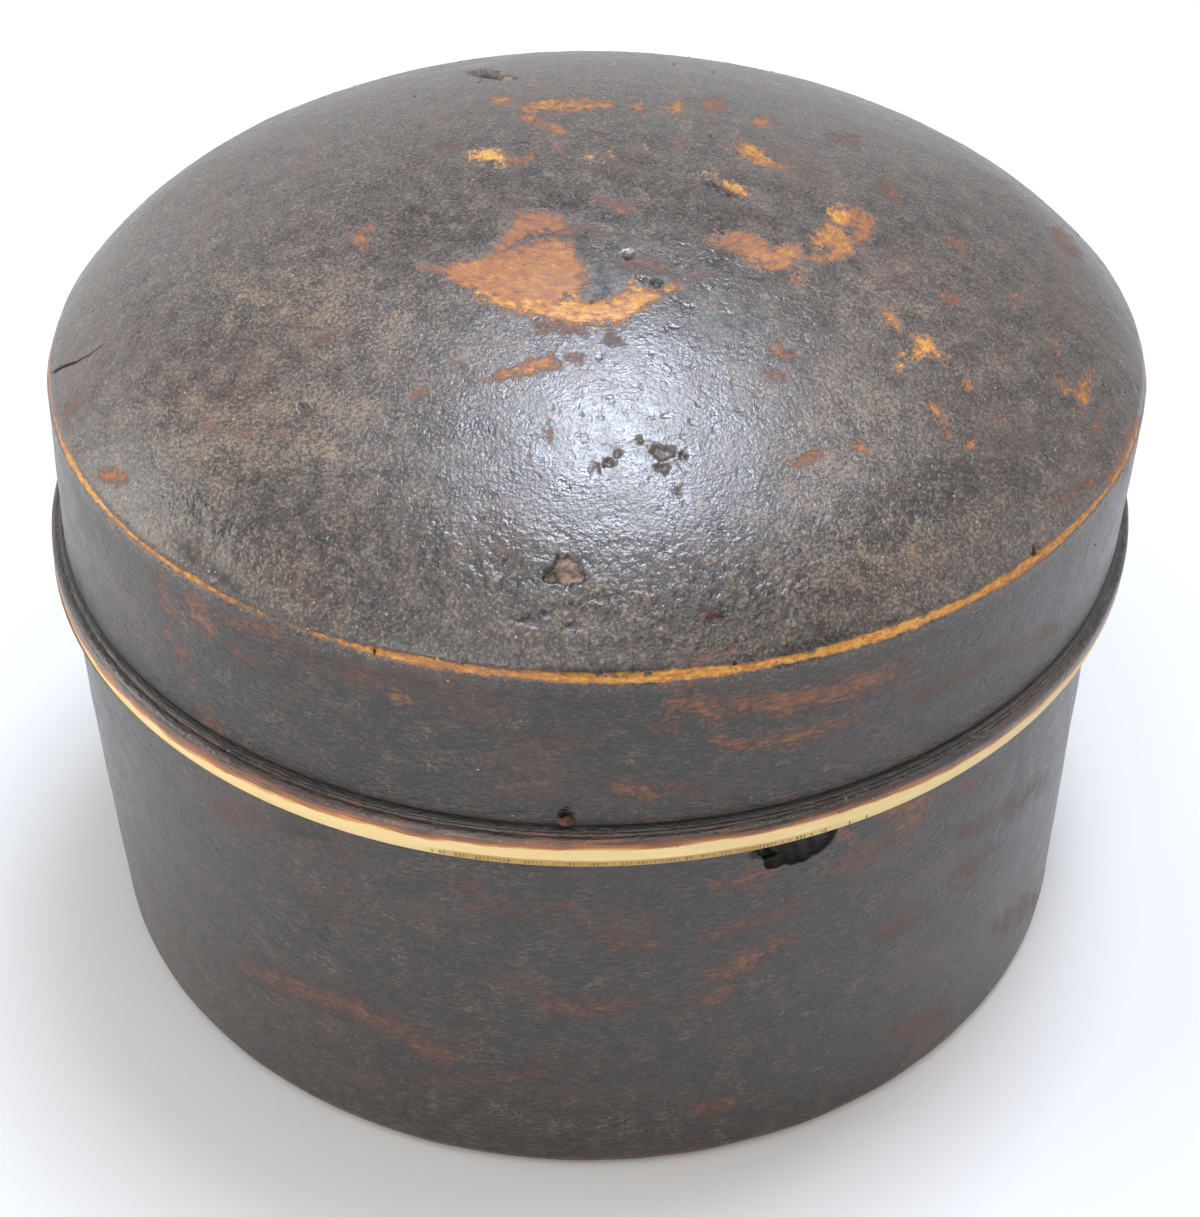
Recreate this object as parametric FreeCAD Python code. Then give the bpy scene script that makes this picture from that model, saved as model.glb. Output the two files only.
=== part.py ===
import FreeCAD, Part
import math
import os

# A round box turned from wood in two pieces. The base is a bowl with a raised
# neck inside its rim. The lid is a dome with a low skirt that slips down over
# the neck, and ends in a beaded flange that rests on the rim.
# Millimetres, +Z up. The origin is the middle of the face that it stands on,
# and the lid is on.

# Outside of the base
wall_radius = 76.9
base_height = 64.8
foot_edge_radius = 2.4
foot_edge_flat_count = 3
rim_edge = 0.4

# Underside of the base, which stands on a ring round a shallow hollow
rest_ring_width = 11.0
underside_hollow = 0.8
underside_lead = 2.5

# Inside of the base
wall_thickness = 10.1
floor_thickness = 9.0
bowl_corner_radius = 17.0
bowl_corner_flat_count = 5

# Neck of the base, which holds the lid in place
neck_height = 10.5
neck_thickness = 5.2
neck_lead = 0.8

# Fit of the lid on the neck
fit_clearance = 0.4
head_clearance = 0.8

# Flange at the foot of the lid, from the seam upwards
flange_projection = 1.8
stained_band_height = 1.1
stained_band_taper = 0.2
bare_band_height = 2.3
flange_shoulder_radius = 0.9
flange_shoulder_flat_count = 3
quirk_width = 0.5
bead_radius = 0.4
bead_flat_count = 2
groove_width = 0.5
groove_depth = 0.5

# Skirt and dome of the lid
skirt_overhang = 1.3
skirt_draw_in = 0.5
skirt_height = 23.0
dome_rise = 27.0
dome_thickness = 7.0
dome_inside_flat_count = 3
shoulder_inside_flat_count = 1

# Flat that wear has left along the arris between skirt and dome
worn_drop = 0.9
worn_inset = 0.7

# Where the crown of the dome turns into its shoulder, as shares of the radius
# at the arris and of the rise above it
shoulder_radius_share = 0.82
shoulder_rise_share = 0.42

# What follows from the sizes of the base
bowl_radius = wall_radius - wall_thickness
neck_radius = bowl_radius + neck_thickness
neck_top = base_height + neck_height
rest_ring_outer = wall_radius - foot_edge_radius
rest_ring_inner = rest_ring_outer - rest_ring_width
floor_top = underside_hollow + floor_thickness

# What follows for the lid, which sits on the rim of the base
seam = base_height
bore_radius = neck_radius + fit_clearance
bore_top = neck_top + head_clearance
hollow_radius = bowl_radius
skirt_foot_radius = wall_radius + skirt_overhang
arris_radius = skirt_foot_radius - skirt_draw_in
flange_radius = skirt_foot_radius + flange_projection
stained_band_top = seam + stained_band_height
bare_band_top = stained_band_top + bare_band_height
shoulder_top = bare_band_top + flange_shoulder_radius
bead_root = flange_radius - flange_shoulder_radius - quirk_width
bead_top = shoulder_top + bead_radius + bead_radius
groove_floor = skirt_foot_radius - groove_depth
skirt_foot = bead_top + groove_width
arris_height = skirt_foot + skirt_height
apex_height = arris_height + dome_rise
skirt_slope = skirt_draw_in / skirt_height
worn_radius = arris_radius + worn_drop * skirt_slope

upwards = FreeCAD.Vector(0, 0, 1)


def point(radius, height):
    """A point of an outline, in the half plane that is turned about Z."""
    return FreeCAD.Vector(radius, 0, height)


def arc_centre(start, outwards, end):
    """Centre of the arc that runs from start to end, square to outwards at start."""
    chord = end - start
    radius = -chord.dot(chord) / (2 * chord.dot(outwards))
    return start - outwards * radius


class Outline:
    """A closed outline that is drawn edge by edge and then turned about Z."""

    def __init__(self, radius, height):
        self.first = point(radius, height)
        self.pen = self.first
        self.edges = []

    def line(self, radius, height):
        """Draws a straight edge to a point."""
        end = point(radius, height)
        self.edges.append(Part.LineSegment(self.pen, end).toShape())
        self.pen = end

    def round(self, centre, end):
        """Draws the shorter arc about a centre to a point."""
        to_pen = self.pen - centre
        to_middle = (to_pen + end - centre).normalize() * to_pen.Length
        self.edges.append(Part.Arc(self.pen, centre + to_middle, end).toShape())
        self.pen = end

    def ease(self, centre, end, flats):
        """Draws a small round to a point as a few equal flats about a centre."""
        to_pen = self.pen - centre
        to_end = end - centre
        turn = to_pen.getAngle(to_end)
        for flat in range(1, flats):
            back = math.sin(turn - turn * flat / flats)
            ahead = math.sin(turn * flat / flats)
            corner = centre + (to_pen * back + to_end * ahead) / math.sin(turn)
            self.line(corner.x, corner.z)
        self.line(end.x, end.z)

    def turn(self):
        """Closes the outline and turns it into a solid."""
        self.line(self.first.x, self.first.z)
        face = Part.Face(Part.Wire(self.edges))
        return face.revolve(FreeCAD.Vector(), upwards, 360)


class Dome:
    """The dome's curve: a crown arc that runs smoothly into a shoulder arc."""

    def __init__(self):
        apex = point(0, apex_height)
        arris = point(arris_radius, arris_height)
        self.blend = point(
            arris_radius * shoulder_radius_share,
            arris_height + dome_rise * shoulder_rise_share,
        )
        self.crown_centre = arc_centre(apex, upwards, self.blend)
        self.crown_radius = (apex - self.crown_centre).Length
        outwards = (self.blend - self.crown_centre).normalize()
        self.shoulder_centre = arc_centre(self.blend, outwards, arris)
        self.shoulder_radius = (arris - self.shoulder_centre).Length

    def surface(self, radius, depth):
        """The point at a radius, at a depth under the dome's outer surface."""
        blend = self.blend_under(depth)
        if radius > blend.x:
            centre, arc_radius = self.shoulder_centre, self.shoulder_radius - depth
        else:
            centre, arc_radius = self.crown_centre, self.crown_radius - depth
        along = radius - centre.x
        return point(radius, centre.z + math.sqrt(arc_radius ** 2 - along ** 2))

    def blend_under(self, depth):
        """The point where crown and shoulder meet, at a depth."""
        inwards = (self.crown_centre - self.blend).normalize()
        return self.blend + inwards * depth

    def draw_up(self, outline):
        """Draws the outside from the arris to the apex."""
        outline.round(self.shoulder_centre, self.blend)
        outline.round(self.crown_centre, self.surface(0, 0))

    def draw_down(self, outline, depth, radius):
        """Draws the inside, in a few flats, from the middle out to a radius."""
        blend = self.blend_under(depth)
        end = self.surface(radius, depth)
        if radius > blend.x:
            outline.ease(self.crown_centre, blend, dome_inside_flat_count)
            outline.ease(self.shoulder_centre, end, shoulder_inside_flat_count)
        else:
            outline.ease(self.crown_centre, end, dome_inside_flat_count)


def make_base():
    """The bowl: hollowed foot, wall, rim, raised neck and rounded inside."""
    outline = Outline(0, underside_hollow)
    outline.line(rest_ring_inner - underside_lead, underside_hollow)
    outline.line(rest_ring_inner, 0)
    outline.line(rest_ring_outer, 0)
    outline.ease(
        point(rest_ring_outer, foot_edge_radius),
        point(wall_radius, foot_edge_radius),
        foot_edge_flat_count,
    )
    outline.line(wall_radius, base_height - rim_edge)
    outline.line(wall_radius - rim_edge, base_height)
    outline.line(neck_radius, base_height)
    outline.line(neck_radius, neck_top - neck_lead)
    outline.line(neck_radius - neck_lead, neck_top)
    outline.line(bowl_radius, neck_top)
    outline.line(bowl_radius, floor_top + bowl_corner_radius)
    outline.ease(
        point(bowl_radius - bowl_corner_radius, floor_top + bowl_corner_radius),
        point(bowl_radius - bowl_corner_radius, floor_top),
        bowl_corner_flat_count,
    )
    outline.line(0, floor_top)
    return outline.turn()


def draw_flange(outline):
    """Draws the flange from the seam up to the foot of the skirt."""
    outline.line(flange_radius - stained_band_taper, seam)
    outline.line(flange_radius, stained_band_top)
    outline.line(flange_radius, bare_band_top)
    outline.ease(
        point(flange_radius - flange_shoulder_radius, bare_band_top),
        point(flange_radius - flange_shoulder_radius, shoulder_top),
        flange_shoulder_flat_count,
    )
    outline.line(bead_root, shoulder_top)
    bead_crest = point(bead_root + bead_radius, shoulder_top + bead_radius)
    for corner in (bead_crest, point(bead_root, bead_top)):
        outline.ease(point(bead_root, bead_crest.z), corner, bead_flat_count)
    outline.line(groove_floor, bead_top)
    outline.line(skirt_foot_radius, skirt_foot)


def make_lid():
    """The domed lid: beaded flange, skirt, dome, and the bore for the neck."""
    dome = Dome()
    outline = Outline(bore_radius + neck_lead, seam)
    draw_flange(outline)
    outline.line(worn_radius, arris_height - worn_drop)
    worn_edge = dome.surface(arris_radius - worn_inset, 0)
    outline.line(worn_edge.x, worn_edge.z)
    dome.draw_up(outline)
    outline.line(0, apex_height - dome_thickness)
    dome.draw_down(outline, dome_thickness, hollow_radius)
    outline.line(hollow_radius, bore_top)
    outline.line(bore_radius, bore_top)
    outline.line(bore_radius, seam + neck_lead)
    return outline.turn()


def main():
    """Writes each piece of the box to its own file."""
    os.makedirs("parts", exist_ok=True)
    pieces = {"base": make_base(), "lid": make_lid()}
    for name, solid in pieces.items():
        solid.exportStep(f"parts/{name}.step")
        centre = solid.CenterOfMass
        print(
            f"{name}: valid {solid.isValid()}, {len(solid.Solids)} solid, "
            f"{solid.Volume:.0f} mm3, centre of mass at height {centre.z:.1f}"
        )


main()
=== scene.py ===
"""Looks of a round lidded box, turned from wood and covered in old dark lacquer.

Lengths are in metres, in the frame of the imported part: +Z up along the turning
axis, the photographed side towards -Y, the origin under the middle of the base.
A point of a piece's section is a complex number: its radius, then its height.
"""

import cmath
import logging
import math
from dataclasses import dataclass, field
from enum import Enum
from itertools import pairwise

import bmesh
import bpy
import numpy as np
from mathutils import Matrix, Vector

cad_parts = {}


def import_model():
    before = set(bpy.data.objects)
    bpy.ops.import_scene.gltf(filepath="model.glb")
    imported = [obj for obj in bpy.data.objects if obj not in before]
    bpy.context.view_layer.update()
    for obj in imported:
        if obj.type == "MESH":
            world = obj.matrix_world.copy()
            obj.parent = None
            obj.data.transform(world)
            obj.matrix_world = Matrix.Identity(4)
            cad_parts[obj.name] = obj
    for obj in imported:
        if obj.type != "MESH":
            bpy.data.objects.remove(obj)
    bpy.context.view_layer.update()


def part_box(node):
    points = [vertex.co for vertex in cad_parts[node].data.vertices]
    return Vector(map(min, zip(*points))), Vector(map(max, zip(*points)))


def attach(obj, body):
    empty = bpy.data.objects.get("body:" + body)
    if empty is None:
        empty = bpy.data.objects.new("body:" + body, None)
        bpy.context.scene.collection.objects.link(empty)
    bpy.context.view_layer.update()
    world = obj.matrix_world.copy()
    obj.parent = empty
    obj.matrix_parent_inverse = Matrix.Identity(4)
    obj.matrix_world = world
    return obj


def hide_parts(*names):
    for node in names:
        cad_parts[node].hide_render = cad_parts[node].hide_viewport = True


LOG = logging.getLogger("round_box")
PHOTO_WIDTH, PHOTO_HEIGHT = 1200, 1217
SEED = 17

Array = np.ndarray
Pixel = tuple[float, float]
Rows = tuple[tuple[float, ...], ...]
Mesh, Piece, Finish = bpy.types.Mesh, bpy.types.Object, bpy.types.Material


class Cover(Enum):
    """What a stretch of a section is covered with."""

    LACQUER = "lacquer"
    RAW_WOOD = "raw wood"


class Mark(Enum):
    """What a stroke on the photograph stands for, by the name of the mesh's value."""

    WORN = "worn"
    GRIT = "grit"
    GRIME_AND_SHADE = "grime"
    LEATHER = "leather"


@dataclass(frozen=True)
class Hollow:
    """A dent, pit or chip, by the photograph's pixel at its middle and its size in pixels."""

    pixel: Pixel
    width: float
    height: float
    depth: float
    turn: float = 0.0
    crisp: float = 0.35
    # How dark the hollow is made: soil in it, and painted shade in its depth.
    grime: float = 0.0
    worn: float = 0.0
    worn_depth: float = 0.5

    @property
    def reach(self) -> float:
        """Its greater size."""
        return max(self.width, self.height)


@dataclass
class Sizes:
    """Sizes that base and lid share. The frame gives the first five."""

    wall_radius: float
    seam: float
    neck_top: float
    flange_radius: float
    apex: float
    underside_hollow: float = 0.0008
    underside_lead: float = 0.0025
    rest_ring_width: float = 0.011
    foot_edge: float = 0.0024
    rim_edge: float = 0.0004
    wall_thickness: float = 0.0101
    floor_thickness: float = 0.009
    bowl_corner: float = 0.017
    neck_thickness: float = 0.0052
    neck_lead: float = 0.0008
    fit_clearance: float = 0.0004
    head_clearance: float = 0.0008
    stained_band_height: float = 0.0011
    stained_band_taper: float = 0.0002
    bare_band_height: float = 0.0023
    flange_projection: float = 0.0018
    shoulder: float = 0.0009
    quirk: float = 0.0005
    bead: float = 0.0004
    groove_width: float = 0.0005
    groove_depth: float = 0.0005
    skirt_draw_in: float = 0.0005
    skirt_height: float = 0.023
    dome_thickness: float = 0.007
    worn_drop: float = 0.0009
    worn_inset: float = 0.0007
    crown_share: float = 0.82
    rise_share: float = 0.42

    def __post_init__(self) -> None:
        """Works out the radii and heights that follow."""
        self.bowl_radius = self.wall_radius - self.wall_thickness
        self.neck_radius = self.bowl_radius + self.neck_thickness
        self.bore_radius = self.neck_radius + self.fit_clearance
        self.skirt_foot_radius = self.flange_radius - self.flange_projection
        self.arris_radius = self.skirt_foot_radius - self.skirt_draw_in
        self.bare_top = self.seam + self.stained_band_height + self.bare_band_height
        self.shoulder_top = self.bare_top + self.shoulder
        self.bead_top = self.shoulder_top + 2 * self.bead
        self.arris = self.bead_top + self.groove_width + self.skirt_height

    @classmethod
    def from_frame(cls) -> "Sizes":
        """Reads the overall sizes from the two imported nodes."""
        (_, base), (low, lid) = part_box("base"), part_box("lid")
        return cls(base.x, low.z, base.z, lid.x, lid.z)


@dataclass
class Outline:
    """The section of a turned piece, as rings from one end of the axis to the other."""

    points: list[complex]
    covers: list[Cover] = field(default_factory=list)
    edge: float = 0.00014

    def put(self, cover: Cover, *points: complex) -> None:
        """Adds rings, and what covers the stretches up to them."""
        self.points += points
        self.covers += [cover] * len(points)

    def lines(self, cover: Cover, step: float, *ends: complex) -> None:
        """Draws straight stretches with a ring close to each end, so that edges stay sharp.

        Args:
            cover: what lies on them.
            step: the widest distance between two rings.
            ends: where they end.
        """
        for end in ends:
            start, way, shares = self.points[-1], end - self.points[-1], [1.0]
            length = abs(way)
            if length > 3 * self.edge:
                count = 1 + math.ceil((length - 2 * self.edge) / step)
                shares = [*np.linspace(self.edge, length - self.edge, count) / length, 1.0]
            self.put(cover, *(start + way * share for share in shares))

    def arc(self, cover: Cover, step: float, centre: complex, end: complex) -> None:
        """Draws the shorter arc about a centre.

        Args:
            cover: what lies on it.
            step: the widest distance between two rings.
            centre: the arc's centre.
            end: where it ends.
        """
        spoke = self.points[-1] - centre
        turn = cmath.phase((end - centre) / spoke)
        count = max(2, math.ceil(abs(turn * spoke) / step))
        shares = (place / count for place in range(1, count + 1))
        self.put(cover, *(centre + spoke * cmath.rect(1, turn * share) for share in shares))


def arc_centre(start: complex, outwards: complex, end: complex) -> complex:
    """Finds the centre of the arc from start to end that is square to outwards at start."""
    chord = end - start
    return start + outwards * abs(chord) ** 2 / (2 * (chord * outwards.conjugate()).real)


class DomeCurve:
    """The dome's two arcs: a crown that runs smoothly into a shoulder."""

    def __init__(self, sizes: Sizes) -> None:
        """Works out the two arcs between the apex and the arris.

        Args:
            sizes: the box's sizes.
        """
        apex, arris = complex(0, sizes.apex), complex(sizes.arris_radius, sizes.arris)
        blend_height = sizes.arris + (sizes.apex - sizes.arris) * sizes.rise_share
        self.blend = complex(sizes.arris_radius * sizes.crown_share, blend_height)
        self.crown_centre = arc_centre(apex, 1j, self.blend)
        self.crown_radius = abs(apex - self.crown_centre)
        outwards = (self.blend - self.crown_centre) / self.crown_radius
        self.shoulder_centre = arc_centre(self.blend, outwards, arris)
        self.shoulder_radius = abs(self.blend - self.shoulder_centre)

    def under(self, radius: float, depth: float) -> complex:
        """Finds the point at a radius on the curve that lies at a depth.

        Args:
            radius: distance from the axis.
            depth: how far under the dome's outside the curve lies.

        Returns:
            The point.
        """
        centre, bow = self.crown_centre, self.crown_radius - depth
        if radius > self.blend_under(depth).real:
            centre, bow = self.shoulder_centre, self.shoulder_radius - depth
        return complex(radius, centre.imag + math.sqrt(bow ** 2 - (radius - centre.real) ** 2))

    def blend_under(self, depth: float) -> complex:
        """The point where crown and shoulder meet, at a depth."""
        spoke = self.blend - self.crown_centre
        return self.crown_centre + spoke * (1 - depth / self.crown_radius)


@dataclass(frozen=True)
class Shrinkage:
    """How the old wood has moved out of true, as fitted to the photographed outline."""

    oval_straight: float = -0.0082
    oval_slanted: float = 0.030
    lean_right: float = 0.0362
    lean_back: float = -0.0062
    lid_shift: float = 0.00046
    apex_shift: float = -0.0034
    wall_shift: float = -0.00106
    wall_bulge: float = 0.00036
    rim_flare: float = 0.0018
    flare_angle: float = -0.1
    flare_width: float = 0.45

    def moved(self, turned: Array, outside: Array, is_lid: bool, sizes: Sizes) -> Array:
        """Moves points of the true form to where the shrunken wood has them.

        Args:
            turned: points of the true form, one a row.
            outside: 1 on outer faces, 0 on inner ones.
            is_lid: whether they belong to the lid.
            sizes: the box's sizes.

        Returns:
            The moved points.
        """
        x, y, z = turned.T
        angle = np.arctan2(y, x)
        oval = self.oval_straight * np.cos(2 * angle) + self.oval_slanted * np.sin(2 * angle)
        share = np.clip(z / sizes.seam, 0, 1)
        stretch = 1 + oval * (1 if is_lid else share)
        x, y = x * stretch, y * stretch
        tilt = -self.lean_right * x - self.lean_back * y
        if is_lid:
            above = z - sizes.seam
            crown = np.clip((z - sizes.arris) / (sizes.apex - sizes.arris), 0, 1)
            right = self.lean_right * above + self.lid_shift + self.apex_shift * crown
            back = self.lean_back * above
            return np.stack([x + outside * right, y + outside * back, z + tilt], 1)
        bulge = self.wall_bulge * np.sin(math.pi * share)
        flare = np.exp(-((angle - self.flare_angle) / self.flare_width) ** 2)
        flare = self.rim_flare * share ** 3 * flare
        grown = 1 + outside * (bulge + flare) / np.maximum(np.hypot(x, y), sizes.foot_edge)
        return np.stack([x * grown + outside * self.wall_shift, y * grown, z + tilt * share], 1)


def show(name: str, data: bpy.types.ID | None) -> Piece:
    """Puts an object into the scene.

    Args:
        name: the object's name.
        data: its mesh, light or camera.

    Returns:
        The object.
    """
    item = bpy.data.objects.new(name, data)
    bpy.context.scene.collection.objects.link(item)
    return item


@dataclass(frozen=True)
class PhotoView:
    """The photograph's camera, found by fitting the turned outline to its edges."""

    distance: float = 0.26606
    height: float = 0.25364
    yaw: float = 0.00272
    pitch: float = 0.67595
    roll: float = 0.00616
    focal_pixels: float = 2150.9
    sensor: float = 36.0

    @property
    def place(self) -> Array:
        """Where the camera stands."""
        return np.array([0.0, -self.distance, self.height])

    @property
    def axes(self) -> tuple[Array, Array, Array]:
        """The camera's directions.

        Returns:
            Right, up and forward.
        """
        ahead, aside, level = math.cos(self.yaw), math.sin(self.yaw), math.cos(self.pitch)
        forward = np.array([aside * level, ahead * level, -math.sin(self.pitch)])
        right = np.array([ahead, -aside, 0.0])
        up = np.cross(right, forward)
        turn, side = math.cos(self.roll), math.sin(self.roll)
        return turn * right + side * up, turn * up - side * right, forward

    def pixels(self, points: Array) -> Array:
        """Projects points to the photograph.

        Args:
            points: the points, one a row.

        Returns:
            Their pixels, one a row.
        """
        right, up, forward = self.axes
        away = points - self.place
        scale = self.focal_pixels / (away @ forward)
        across, down = away @ right * scale, away @ up * scale
        return np.stack([PHOTO_WIDTH / 2 + across, PHOTO_HEIGHT / 2 - down], 1)

    def faces(self, points: Array, normals: Array) -> Array:
        """How far each point's surface is turned towards the camera, from -1 to 1."""
        away = self.place - points
        return (away / np.linalg.norm(away, axis=1, keepdims=True) * normals).sum(1)

    def make_camera(self) -> None:
        """Creates the scene's camera."""
        right, up, forward = self.axes
        data = bpy.data.cameras.new("camera")
        data.sensor_fit = "VERTICAL"
        data.sensor_height = self.sensor
        data.lens = self.sensor * self.focal_pixels / PHOTO_HEIGHT
        data.clip_start, data.clip_end = 0.01, 20.0
        columns = np.eye(4)
        columns[:3] = np.stack([right, up, -forward, self.place], 1)
        camera = show("camera", data)
        camera.matrix_world = Matrix(columns.tolist())
        bpy.context.scene.camera = camera


def linear(colour: str) -> tuple[float, ...]:
    """Turns an sRGB hex colour into linear values with full opacity.

    Args:
        colour: six hex digits after a hash.

    Returns:
        Linear red, green and blue, and 1.
    """
    values = [int(colour[place:place + 2], 16) / 255 for place in (1, 3, 5)]
    powers = [((value + 0.055) / 1.055) ** 2.4 for value in values]
    return *(p if v > 0.04045 else v / 12.92 for v, p in zip(values, powers)), 1.0


@dataclass(frozen=True)
class Value:
    """A node's output, with which sums and products are written as such."""

    node: bpy.types.Node
    key: int | str = 0

    def __getitem__(self, key: int | str) -> "Value":
        """Another output of the same node."""
        return Value(self.node, key)

    def join(self, operation: str, *values: object) -> "Value":
        """Joins numbers by an operation, in this value's tree."""
        inputs = dict(enumerate(values))
        return add_node(self.node.id_data, "ShaderNodeMath", inputs, operation=operation)

    def __add__(self, other: object) -> "Value":
        """Adds a number."""
        return self.join("ADD", self, other)

    def __sub__(self, other: object) -> "Value":
        """Takes a number away."""
        return self.join("SUBTRACT", self, other)

    def __rsub__(self, other: object) -> "Value":
        """Is taken away from a number."""
        return self.join("SUBTRACT", other, self)

    def __mul__(self, other: object) -> "Value":
        """Multiplies by a number."""
        return self.join("MULTIPLY", self, other)

    __radd__, __rmul__ = __add__, __mul__

    def step(self, low: object, high: object, start: float = 0.0, end: float = 1.0) -> "Value":
        """Maps this value with soft ends.

        Args:
            low: where the map begins.
            high: where it ends.
            start: what it gives up to low.
            end: what it gives from high on.

        Returns:
            The mapped value.
        """
        inputs = dict(enumerate((self, low, high, start, end)))
        soft = {"interpolation_type": "SMOOTHSTEP"}
        return add_node(self.node.id_data, "ShaderNodeMapRange", inputs, **soft)


def add_node(
    tree: bpy.types.NodeTree,
    kind: str,
    inputs: dict | None = None,
    ramp: tuple[tuple[float, str], ...] = (),
    **settings: object,
) -> Value:
    """Adds a node with its settings, its values and its links.

    Args:
        tree: the tree that gets the node.
        kind: the node's type.
        inputs: constants, hex colours or other nodes' values, by the input's name or number.
        ramp: stops of a colour ramp, as places and hex colours.
        settings: properties of the node.

    Returns:
        The node's first output.
    """
    node = tree.nodes.new(kind)
    for name, setting in settings.items():
        setattr(node, name, setting)
    for key, value in (inputs or {}).items():
        if isinstance(value, Value):
            tree.links.new(value.node.outputs[value.key], node.inputs[key])
        else:
            is_colour = str(value).startswith("#")
            node.inputs[key].default_value = linear(value) if is_colour else value
    if ramp:
        stops = node.color_ramp.elements
        while len(stops) < len(ramp):
            stops.new(0.5)
        for stop, (place, colour) in zip(stops, ramp):
            stop.position, stop.color = place, linear(colour)
    return Value(node)


@dataclass
class Surface:
    """A material's tree while it is built, with the few joins that all finishes use."""

    name: str

    def __post_init__(self) -> None:
        """Creates the material and its object coordinates."""
        self.material = bpy.data.materials.new(self.name)
        self.material.use_nodes = True
        self.material.node_tree.nodes.clear()
        self.place = self.add("ShaderNodeTexCoord")["Object"]

    def add(self, kind: str, inputs: dict | None = None, **settings: object) -> Value:
        """Adds a node to this material's tree."""
        return add_node(self.material.node_tree, kind, inputs, **settings)

    def value(self, name: str) -> Value:
        """Reads one of the mesh's own values."""
        return self.add("ShaderNodeAttribute", attribute_name=name)["Fac"]

    def noise(
        self, size: float, detail: float = 2.0, stretch: float = 0.0, rough: float = 0.5
    ) -> Value:
        """Makes a soft noise, mostly from 0.3 to 0.7.

        Args:
            size: the width of one blot.
            detail: how many finer layers it has.
            stretch: how many times longer the blots are along the turning, or none.
            rough: how strong the finer layers are.

        Returns:
            The noise.
        """
        inputs = {"Vector": self.place, "Scale": 1 / size, "Detail": detail, "Roughness": rough}
        if not stretch:
            return self.add("ShaderNodeTexNoise", inputs)
        shrunk = {0: self.place, 3: 1 / stretch}
        inputs["Vector"] = self.add("ShaderNodeVectorMath", shrunk, operation="SCALE")
        inputs["W"] = self.value("along")
        return self.add("ShaderNodeTexNoise", inputs, noise_dimensions="4D")

    def blend(self, share: object, first: object, second: object) -> Value:
        """Mixes two colours by a share."""
        inputs = {0: share, 6: first, 7: second}
        return self.add("ShaderNodeMix", inputs, data_type="RGBA")[2]

    def finish(
        self, colour: Value, rough: object, height: object, ior: float = 1.5, level: float = 0.5
    ) -> Finish:
        """Joins colour, roughness and fine relief to the shader.

        Args:
            colour: the base colour.
            rough: the roughness.
            height: the fine relief, in metres.
            ior: the index of refraction.
            level: how strong the gloss is, 0.5 being what the index gives.

        Returns:
            The finished material.
        """
        bump = self.add("ShaderNodeBump", {"Height": height, "Distance": 1.0, "Strength": 1.0})
        inputs = {"Base Color": colour, "Roughness": rough, "Normal": bump}
        inputs |= {"IOR": ior, "Specular IOR Level": level}
        shader = self.add("ShaderNodeBsdfPrincipled", inputs)
        self.add("ShaderNodeOutputMaterial", {"Surface": shader})
        return self.material


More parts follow.
